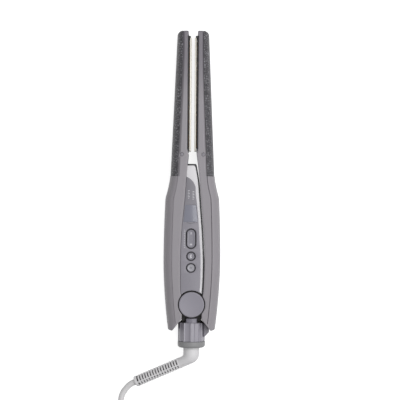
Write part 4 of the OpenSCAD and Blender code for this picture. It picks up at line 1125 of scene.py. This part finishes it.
def make_round_button(name, node, body, y, d, finish, slot, marks, ink):
    """A round cap on its skirt, centred at height y, with its printed mark."""
    foot = node_box(node)[0][2]
    rings = [
        [(x, cy, z) for x, cy in circle(BUTTONS_X, y, d - 2 * inset, 48)]
        for inset, z in cap_steps(foot + 0.9)
    ]
    cap = ring_piece(name + "_cap", rings, RIGHT, finish)
    skirt = outline_piece(
        name + "_skirt", [circle(BUTTONS_X, y, d + 2 * SKIRT_RIM)], foot, foot + 1, 0.15, "skirt")
    print_on = printed(name + "_mark", marks, BUTTON_TOP - DISH, ink)
    dress(join(name, [cap, skirt, print_on]), body, slot, node)


def make_buttons():
    """The rocker, and the two round buttons with a wave and a power symbol."""
    make_rocker()
    wave = [
        (BUTTONS_X + 0.75 * math.sin(t * 0.9 * math.pi), MODE_Y + 0.62 * t) for t in steps(-3, 3, 36)
    ]
    make_round_button(
        "mode_key", "mode_button", "mode_button_body", MODE_Y, MODE_D, "button", "panel_grey",
        [stroke(wave, 0.6)], "ink")
    ring = arc(BUTTONS_X, POWER_Y, 0.95, steps(125, 415, 29))
    bar = [(BUTTONS_X, POWER_Y + 0.25), (BUTTONS_X, POWER_Y + 1.35)]
    make_round_button(
        "power_key", "power_button", "power_button_body", POWER_Y, POWER_D, "button_light",
        "button_light", [stroke(ring, 0.36), stroke(bar, 0.36)], "ink_dark")


def make_panel_print():
    """Level ticks beside the rocker, two short scales near the top, and a fine dark line of painted
    groove shade under the window.
    """
    levels = [ROCKER_Y - 8.4 + 1.7 * k for k in range(11)]
    ticks = [stroke([(BUTTONS_X - 7, y), (BUTTONS_X - 5.9, y)], 0.4) for y in levels]
    for x, y in ((-3.3, 105.2), (1.2, 104.2)):
        ticks += [
            stroke([(x - 0.9, y + 1.5 * k), (x + (0.9 if k % 2 else 0.3), y + 1.5 * k)], 0.5)
            for k in range(6)
        ]
    line = [stroke([(-5.4 + 8 * t, 81.2 - 0.9 * math.sin(math.pi * t)) for t in steps(0, 1, 16)], 0.4)]
    light = printed("panel_ticks", ticks, PANEL_FRONT - 0.01, "ink")
    # The dark line under the window is painted shade of a groove, not print
    dark = printed("panel_line", line, PANEL_FRONT - 0.01, "ink_dark")
    dress(join("panel_print", [light, dark]), "left_arm", "panel_grey")


make_buttons()
make_panel_print()


# Hub caps: flat discs with a softened rim on the outer side and a shallow dish in the upper face
def make_hub_cap(place):
    low, high = node_box(place + "_hub_cap")
    r, height = (high[0] - low[0]) / 2, high[2] - low[2]
    foot_lip, top_lip = (0, 0.4) if place == "front" else (0.4, 0)
    profile = [
        (0, 0), (r - foot_lip, 0), (r, foot_lip), (r, height - top_lip),
        (r - 0.15, height - 0.4 * top_lip), (r - top_lip, height), (r - 1.2, height),
        (r - 1.35, height - 0.04), (0, height - 0.04),
    ]
    disc = lathe_piece(place + "_hinge_disc", profile, Matrix.Translation((0, 0, low[2])), "cap")
    dress(disc, "hub", "cap", place + "_hub_cap")


make_hub_cap("front")
make_hub_cap("rear")


# Hub block: the round core between the hinge rings, its skirt, the neck and the tail barrel
CORE_R, CORE_LOW = 12.4, 9.5
NECK_HALF_X, NECK_TOP_Y = 5.5, -14
TAIL_TOP_Y, TAIL_R = -17, 11.75
COLLAR_LOW, COLLAR_HIGH = node_box("lock_collar")
COLLAR_TOP_Y, COLLAR_FOOT_Y = COLLAR_HIGH[1], COLLAR_LOW[1]
COLLAR_R = -COLLAR_LOW[0]
RING_FOOT_Y, RING_R = node_box("end_ring")[0][1], node_box("end_ring")[1][0]
DOWN = (0, -1, 0)


def make_core():
    """The core with its bore and spring pocket, the skirt, the neck and the barrel in one block."""
    pin_r, pocket_r, thick = 4.05, 8.4, DEPTH - 2 * CORE_LOW
    floor = node_box("torsion_spring")[0][2] - 0.15 - CORE_LOW
    profile = [
        (pin_r, 0), (CORE_R - 0.3, 0), (CORE_R, 0.3), (CORE_R, thick - 0.3), (CORE_R - 0.3, thick),
        (pocket_r, thick), (pocket_r, floor), (pin_r, floor), (pin_r, 0),
    ]
    core = lathe_piece("core", profile, Matrix.Translation((0, 0, CORE_LOW)), "carrier")
    half = [(9.9, TAIL_TOP_Y - 0.5), (9.9, -14.3), (11.4, -13.9), (11.4, -12.5), (10.6, -4)]
    skirt_line = [(-x, y) for x, y in reversed(half)] + half + arc(0, 0, 9, range(-20, -161, -10))
    skirt = outline_piece("skirt", [skirt_line], CORE_LOW + 0.4, DEPTH - CORE_LOW - 0.4, 0.4, "carrier")
    front = [(-NECK_HALF_X, 9.6), (0.1 - NECK_HALF_X, 10.1), (0.4 - NECK_HALF_X, 10.5)]
    front += [(x, math.sqrt((TAIL_R + 0.02) ** 2 - x * x)) for x in (-4.6, -3, -1.5, 0, 1.5, 3, 4.6)]
    front += [(-x, z) for x, z in reversed(front[:3])]
    section = front + [(-x, -z) for x, z in front]
    rings = [
        [(x * size, y, MID_Z + z * size) for x, z in section]
        for y, size in ((NECK_TOP_Y, 0.95), (NECK_TOP_Y - 0.3, 1), (COLLAR_TOP_Y + 0.05, 1))
    ]
    neck = ring_piece("neck", rings, RIGHT, "neck")
    length = TAIL_TOP_Y - COLLAR_FOOT_Y
    profile = [(0, 0), (TAIL_R - 1.2, 0), (TAIL_R, 1.2), (TAIL_R, length), (0, length)]
    barrel = lathe_piece("tail_barrel", profile, matrix_to((0, TAIL_TOP_Y, MID_Z), DOWN), "carrier")
    dress(join("hub_block", [core, skirt, neck, barrel]), "hub", "chassis", "hub_core")


# Lock collar: flats and fine ridges along it, a bevelled top rim and a thumb tab
COLLAR_CORNERS = (-90, -58, -33, -3, 14, 35, 52, 90)
COLLAR_RIDGES, RIDGE = (-3, 35), 0.3
FLUTE_FROM, FLUTE_DEEP = -33, 0.5


def collar_section(inset):
    """Section of the collar, as (x, height) from its axis, going round from the left."""
    r, points = COLLAR_R - inset, []
    for a, b in zip(COLLAR_CORNERS, COLLAR_CORNERS[1:]):
        ridge = 1.6 if a in COLLAR_RIDGES else 0
        points.append((a, r))
        if ridge:
            points += [(a + ridge, r), (a + ridge + 0.5, r - RIDGE)]
        bow = math.cos(math.radians((b - a) / 2))
        dip = FLUTE_DEEP if a == FLUTE_FROM else 0
        points += [
            (a + (b - a) * t,
             (r - RIDGE) * bow / math.cos(math.radians((b - a) * (t - 0.5))) - dip * 4 * t * (1 - t))
            for t in (0.12, 0.25, 0.4, 0.5, 0.6, 0.75, 0.88)
        ]
        if b in COLLAR_RIDGES:
            points += [(b - 2.1, r - RIDGE), (b - 1.6, r)]
    front = [(d * math.sin(math.radians(a)), d * math.cos(math.radians(a))) for a, d in points]
    return front + [(-x, -z) for x, z in front]


def make_collar():
    """The shell, bored out for the tail barrel, with its thumb tab on the right."""
    bevel, length = 0.8, COLLAR_TOP_Y - COLLAR_FOOT_Y
    rings = [
        [(x, COLLAR_TOP_Y - drop, MID_Z + z) for x, z in collar_section(inset)]
        for drop, inset in (
            (0, bevel), (0.25, 0.32), (bevel, 0.05), (bevel + 0.2, 0),
            (length - 0.45, 0), (length, 0.45))
    ]
    shell = ring_piece("collar_shell", rings, RIGHT, "collar", 14)
    above = matrix_to((0, COLLAR_TOP_Y + 1, MID_Z), DOWN)
    cut(shell, lathe_piece("bore", rod(TAIL_R + 0.05, length + 2), above, "carrier"))
    finish_shading(shell, 14)
    r, tip = COLLAR_R, COLLAR_HIGH[0]
    tab_line = [(x, COLLAR_TOP_Y + y) for x, y in [
        (r - 1, -1.1), (r + 0.2, -1.9), (tip - 1, -5.6), (tip - 0.2, -6.7), (tip, -7.6), (tip, -9.2),
        (tip - 0.4, -10.2), (r, -14.2), (r - 1, -14.6)]]
    # The tab's darker finish is painted shade from the right fin above it
    tab = outline_piece("collar_tab", [tab_line], MID_Z - 4, MID_Z + 4, 0.6, "tab")
    dress(join("locking_collar", [shell, tab]), "lock", "collar", "lock_collar")


# End ring with rounded foot, and the elbow that turns in it
def make_end_ring():
    length, r, corner = COLLAR_FOOT_Y - RING_FOOT_Y, RING_R, 2.5
    seat, stub, flange = 1.65, 7.56, 9.56
    profile = [(flange, 0), (r - 0.45, 0), (r, 0.45)]
    profile += arc(r - corner, length - corner, corner, range(0, 91, 15))
    profile += [(stub, length), (stub, seat), (flange, seat), (flange, 0)]
    ring = lathe_piece("tail_end_ring", profile, matrix_to((0, COLLAR_FOOT_Y, MID_Z), DOWN), "ring")
    dress(ring, "hub", "ring", "end_ring")


make_core()
make_collar()
make_end_ring()


# Elbow and strain relief, which turn together about the tail's axis
ELBOW_D, ELBOW_CORNER_Y, ELBOW_REACH = 16, -54.6, 12.8
# Length of the elbow's bend before and after its corner, and how much longer it is on the outside
BEND_SOFT, BEND_SOFTER = 4.6, 2.4
LEAD_SLOPE, SWIVEL_ROLL = 24.1, 11.15
RELIEF_LEN, RELIEF_R, RELIEF_CORE_R, RELIEF_START_R, RELIEF_RIBS = 49.5, 5.45, 3.6, 5.2, 16
RELIEF_COLLAR, SPINE_TURN, SPINE_W = 3, -10, 1.3
SWIVEL = Matrix.Translation((0, 0, MID_Z)) @ Matrix.Rotation(math.radians(-SWIVEL_ROLL), 4, "Y")


def lead_point(s):
    """A place on the strain relief's line, so far beyond the elbow's corner, before the roll."""
    a = math.radians(LEAD_SLOPE)
    return Vector((-s * math.cos(a), ELBOW_CORNER_Y - s * math.sin(a), 0))


def make_elbow():
    """A wide tube that meets the narrow lead end on a corner, each line along them rounded there."""
    corner = Vector((0, ELBOW_CORNER_Y, 0))
    ahead = lead_point(1) - corner
    across = Vector((-ahead.y, ahead.x, 0))
    slope = ahead.y / ahead.x
    sides, soft = 64, 8
    lines = []
    for k in range(sides):
        a = 2 * math.pi * k / sides
        off = Vector((math.cos(a), 0, math.sin(a))) * ELBOW_D / 2
        narrow = (across * math.cos(a) + Vector((0, 0, math.sin(a)))) * RELIEF_START_R
        first = Vector((off.x, RING_FOOT_Y + 0.1, off.z))
        last = corner + ahead * ELBOW_REACH + narrow
        turn = Vector((off.x, last.y + (off.x - last.x) * slope, off.z))
        reach = BEND_SOFT + BEND_SOFTER * math.cos(a)
        start = turn + (first - turn) * min(1, reach / (first - turn).length)
        end = turn + (last - turn) * min(0.9, reach / (last - turn).length)
        bend = [start * (1 - t) ** 2 + turn * 2 * t * (1 - t) + end * t * t for t in steps(0, 1, soft)]
        lines.append([first] + bend + [last])
    rings = [[SWIVEL @ line[i] for line in lines] for i in range(soft + 3)]
    bent = ring_piece("elbow_tube", rings, RIGHT, "relief", 50)
    top = COLLAR_FOOT_Y - 0.1
    length = top - RING_FOOT_Y + 1
    stub = [(0, 0), (9.5, 0), (9.5, 1.5), (7.5, 1.5), (7.5, length), (0, length)]
    seat = lathe_piece("elbow_seat", stub, matrix_to((0, top, MID_Z), DOWN), "relief")
    dress(join("lead_elbow", [bent, seat]), "swivel", "cord", "cord_elbow")


def rib_tree(finish):
    """Geometry nodes that repeat a rounded rib along a core, with its sizes as inputs."""
    tree = bpy.data.node_groups.new("flex_ribs", "GeometryNodeTree")
    for name in ("Ribs", "Pitch", "Radius", "Width", "Height", "Corner"):
        kind = "NodeSocketInt" if name == "Ribs" else "NodeSocketFloat"
        tree.interface.new_socket(name, in_out="INPUT", socket_type=kind)
    tree.interface.new_socket("Ribs mesh", in_out="OUTPUT", socket_type="NodeSocketGeometry")
    given = add(tree, "NodeGroupInput").outputs
    pitch = add(tree, "ShaderNodeCombineXYZ", {"Z": given["Pitch"]})
    places = add(tree, "GeometryNodeMeshLine", {
        "Count": given["Ribs"], "Offset": pitch.outputs["Vector"]})
    loop = add(tree, "GeometryNodeCurvePrimitiveCircle", {"Resolution": 40, "Radius": given["Radius"]})
    band = add(tree, "GeometryNodeCurvePrimitiveQuadrilateral", {
        "Width": given["Height"], "Height": given["Width"]})
    soft = add(tree, "GeometryNodeFilletCurve", {
        "Curve": band.outputs["Curve"], "Radius": given["Corner"], "Count": 3}, mode="POLY")
    rib = add(tree, "GeometryNodeCurveToMesh", {
        "Curve": loop.outputs["Curve"], "Profile Curve": soft.outputs["Curve"]})
    row = add(tree, "GeometryNodeInstanceOnPoints", {
        "Points": places.outputs["Mesh"], "Instance": rib.outputs["Mesh"]})
    whole = add(tree, "GeometryNodeRealizeInstances", {"Geometry": row.outputs["Instances"]})
    dressed = add(tree, "GeometryNodeSetMaterial", {
        "Geometry": whole.outputs["Geometry"], "Material": FINISHES[finish]})
    add(tree, "NodeGroupOutput", {"Ribs mesh": dressed.outputs["Geometry"]})
    return tree


def ribs(name, place, finish, **sizes):
    """Ribs of the given sizes in millimetres, baked to a plain mesh and put in place."""
    tree = rib_tree(finish)
    holder = bpy.data.objects.new(name, bpy.data.meshes.new(name))
    bpy.context.collection.objects.link(holder)
    modifier = holder.modifiers.new("ribs", "NODES")
    modifier.node_group = tree
    for item in tree.interface.items_tree:
        if item.in_out == "INPUT":
            size = sizes[item.name.lower()]
            modifier[item.identifier] = size if item.name == "Ribs" else size * MM
    graph = bpy.context.evaluated_depsgraph_get()
    mesh = bpy.data.meshes.new_from_object(holder.evaluated_get(graph))
    bpy.data.objects.remove(holder)
    place = place.copy()
    place.translation *= MM
    mesh.transform(place)
    close_up(mesh)
    return finish_shading(link(name, mesh, finish), 40)


def make_relief():
    """A core with pale ribs along it, dark as painted shade between them, two spines that join the ribs
    and a plain end sleeve.
    """
    start = SWIVEL @ lead_point(ELBOW_REACH)
    ahead = ((SWIVEL @ lead_point(ELBOW_REACH + 10)) - start).normalized()
    level = Vector((0, 0, 1)).cross(ahead).normalized()
    above = ahead.cross(level)
    place = Matrix.Translation(start) @ Matrix((level, above, ahead)).transposed().to_4x4()
    end = RELIEF_LEN - RELIEF_COLLAR
    pitch = end / RELIEF_RIBS
    width = 0.52 * pitch
    height = RELIEF_R - RELIEF_CORE_R + 0.3
    row = ribs(
        "relief_ribs", place @ Matrix.Translation((0, 0, width / 2)), "relief", ribs=RELIEF_RIBS,
        pitch=pitch, radius=RELIEF_R - height / 2, width=width, height=height, corner=0.3)
    inner = [(0, 0), (RELIEF_CORE_R, 0), (RELIEF_CORE_R, end), (RELIEF_R - 0.3, end), (0, end)]
    # The core's dark finish is painted shade in the slots between the ribs
    core = lathe_piece("relief_core", inner, place, "cord_shade", 48)
    outer = [
        (0, end), (RELIEF_R - 0.3, end), (RELIEF_R, end + 0.3), (RELIEF_R, RELIEF_LEN - 0.6),
        (RELIEF_R - 0.6, RELIEF_LEN), (0, RELIEF_LEN),
    ]
    sleeve = lathe_piece("relief_end", outer, place, "relief", 48)
    line = stadium(0, (end + 1) / 2, end, SPINE_W, 6)
    spines = []
    for turn in (SPINE_TURN, SPINE_TURN + 180):
        spine = outline_piece("relief_spine", [line], -0.6, 0.6, 0.2, "relief")
        stand = Matrix.Rotation(math.radians(turn), 4, "Z") @ Matrix.Translation((0, RELIEF_R - 0.7, 0))
        turned = place @ stand @ Matrix.Rotation(math.pi / 2, 4, "X")
        turned.translation *= MM
        spine.data.transform(turned)
        spines.append(spine)
    dress(join("flex_relief", [core, sleeve, row] + spines), "swivel", "cord", "strain_relief")


make_elbow()
make_relief()


# Inner pieces keep their CAD shapes and get the finish of what they are
INNER_FINISHES = {
    "carrier": ("left_frame", "right_frame", "left_carrier", "right_carrier"),
    "foil": ("left_heater", "right_heater"),
    "silicone": ("left_cushions", "right_cushions"),
    "wire": ("left_wires", "right_wires"),
    "steel": ("left_screws", "right_screws", "thermal_sensor", "thermal_fuse", "hinge_pin",
              "hinge_washers", "torsion_spring"),
    "board": ("circuit_board",),
    "trim": ("display_module", "tact_switches"),
}
for finish, nodes in INNER_FINISHES.items():
    for node in nodes:
        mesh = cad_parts[node].data
        mesh.materials.clear()
        mesh.materials.append(FINISHES[finish])


# Studio: a broad overhead softbox a little to the right, a plain surround and a paper floor
def seen_plainly(tree):
    """One for rays from the camera and for what mirrors and clear pieces show, nought for light."""
    rays = add(tree, "ShaderNodeLightPath")
    clear = add(tree, "ShaderNodeMath", {
        0: rays.outputs["Is Glossy Ray"], 1: rays.outputs["Is Transmission Ray"]},
        operation="MAXIMUM")
    seen = add(tree, "ShaderNodeMath", {
        0: rays.outputs["Is Camera Ray"], 1: clear.outputs["Value"]}, operation="MAXIMUM")
    return seen.outputs["Value"]


def make_studio():
    """A world that lights dimly and shows white, and the softbox, one metre wide and high up."""
    world = bpy.data.worlds.new("studio")
    bpy.context.scene.world = world
    world.use_nodes = True
    tree = world.node_tree
    tree.nodes.clear()
    dim = add(tree, "ShaderNodeBackground", {"Color": linear("ffffff"), "Strength": 0.3})
    white = add(tree, "ShaderNodeBackground", {"Color": linear("ffffff"), "Strength": 1})
    mix = add(tree, "ShaderNodeMixShader", {
        0: seen_plainly(tree), 1: dim.outputs["Background"], 2: white.outputs["Background"]})
    add(tree, "ShaderNodeOutputWorld", {"Surface": mix.outputs["Shader"]})
    lamp = bpy.data.lights.new("softbox", "AREA")
    lamp.shape, lamp.size, lamp.size_y, lamp.energy = "RECTANGLE", 1.0, 1.0, 9
    box = bpy.data.objects.new("softbox", lamp)
    box.location = (0.5, 0.25, 1.05)
    box.rotation_euler = (Vector((0, 0.1, 0)) - box.location).to_track_quat("-Z", "Y").to_euler()
    bpy.context.collection.objects.link(box)


# The camera, mirrors and clear pieces see the paper brightened to white; the object's shadow stays
def make_floor():
    reach, height = 3000, -0.05
    corners = ((-1, -1), (1, -1), (1, 1), (-1, 1))
    points = [(reach * x, reach * y, height) for x, y in corners]
    floor = mesh_piece("floor", points, [(0, 1, 2, 3)], "pod")
    material, tree, where = new_material("white_paper")
    fibres = add(tree, "ShaderNodeTexNoise", {"Vector": where, "Scale": every(2), "Detail": 3})
    tone = add(tree, "ShaderNodeMix", {
        0: fibres.outputs["Fac"], MIX_A: linear("c9c9c9"), MIX_B: linear("d2d2d2")}, data_type="RGBA")
    paper = add(tree, "ShaderNodeBsdfDiffuse", {"Color": tone.outputs[MIX_RESULT], "Roughness": 0.5})
    glow = add(tree, "ShaderNodeEmission", {"Color": linear("ffffff"), "Strength": 0.85})
    lifted = add(tree, "ShaderNodeAddShader", {0: paper.outputs["BSDF"], 1: glow.outputs["Emission"]})
    mix = add(tree, "ShaderNodeMixShader", {
        0: seen_plainly(tree), 1: paper.outputs["BSDF"], 2: lifted.outputs["Shader"]})
    add(tree, "ShaderNodeOutputMaterial", {"Surface": mix.outputs["Shader"]})
    floor.data.materials[0] = material


make_studio()
make_floor()
bpy.context.scene.view_settings.view_transform = "Standard"
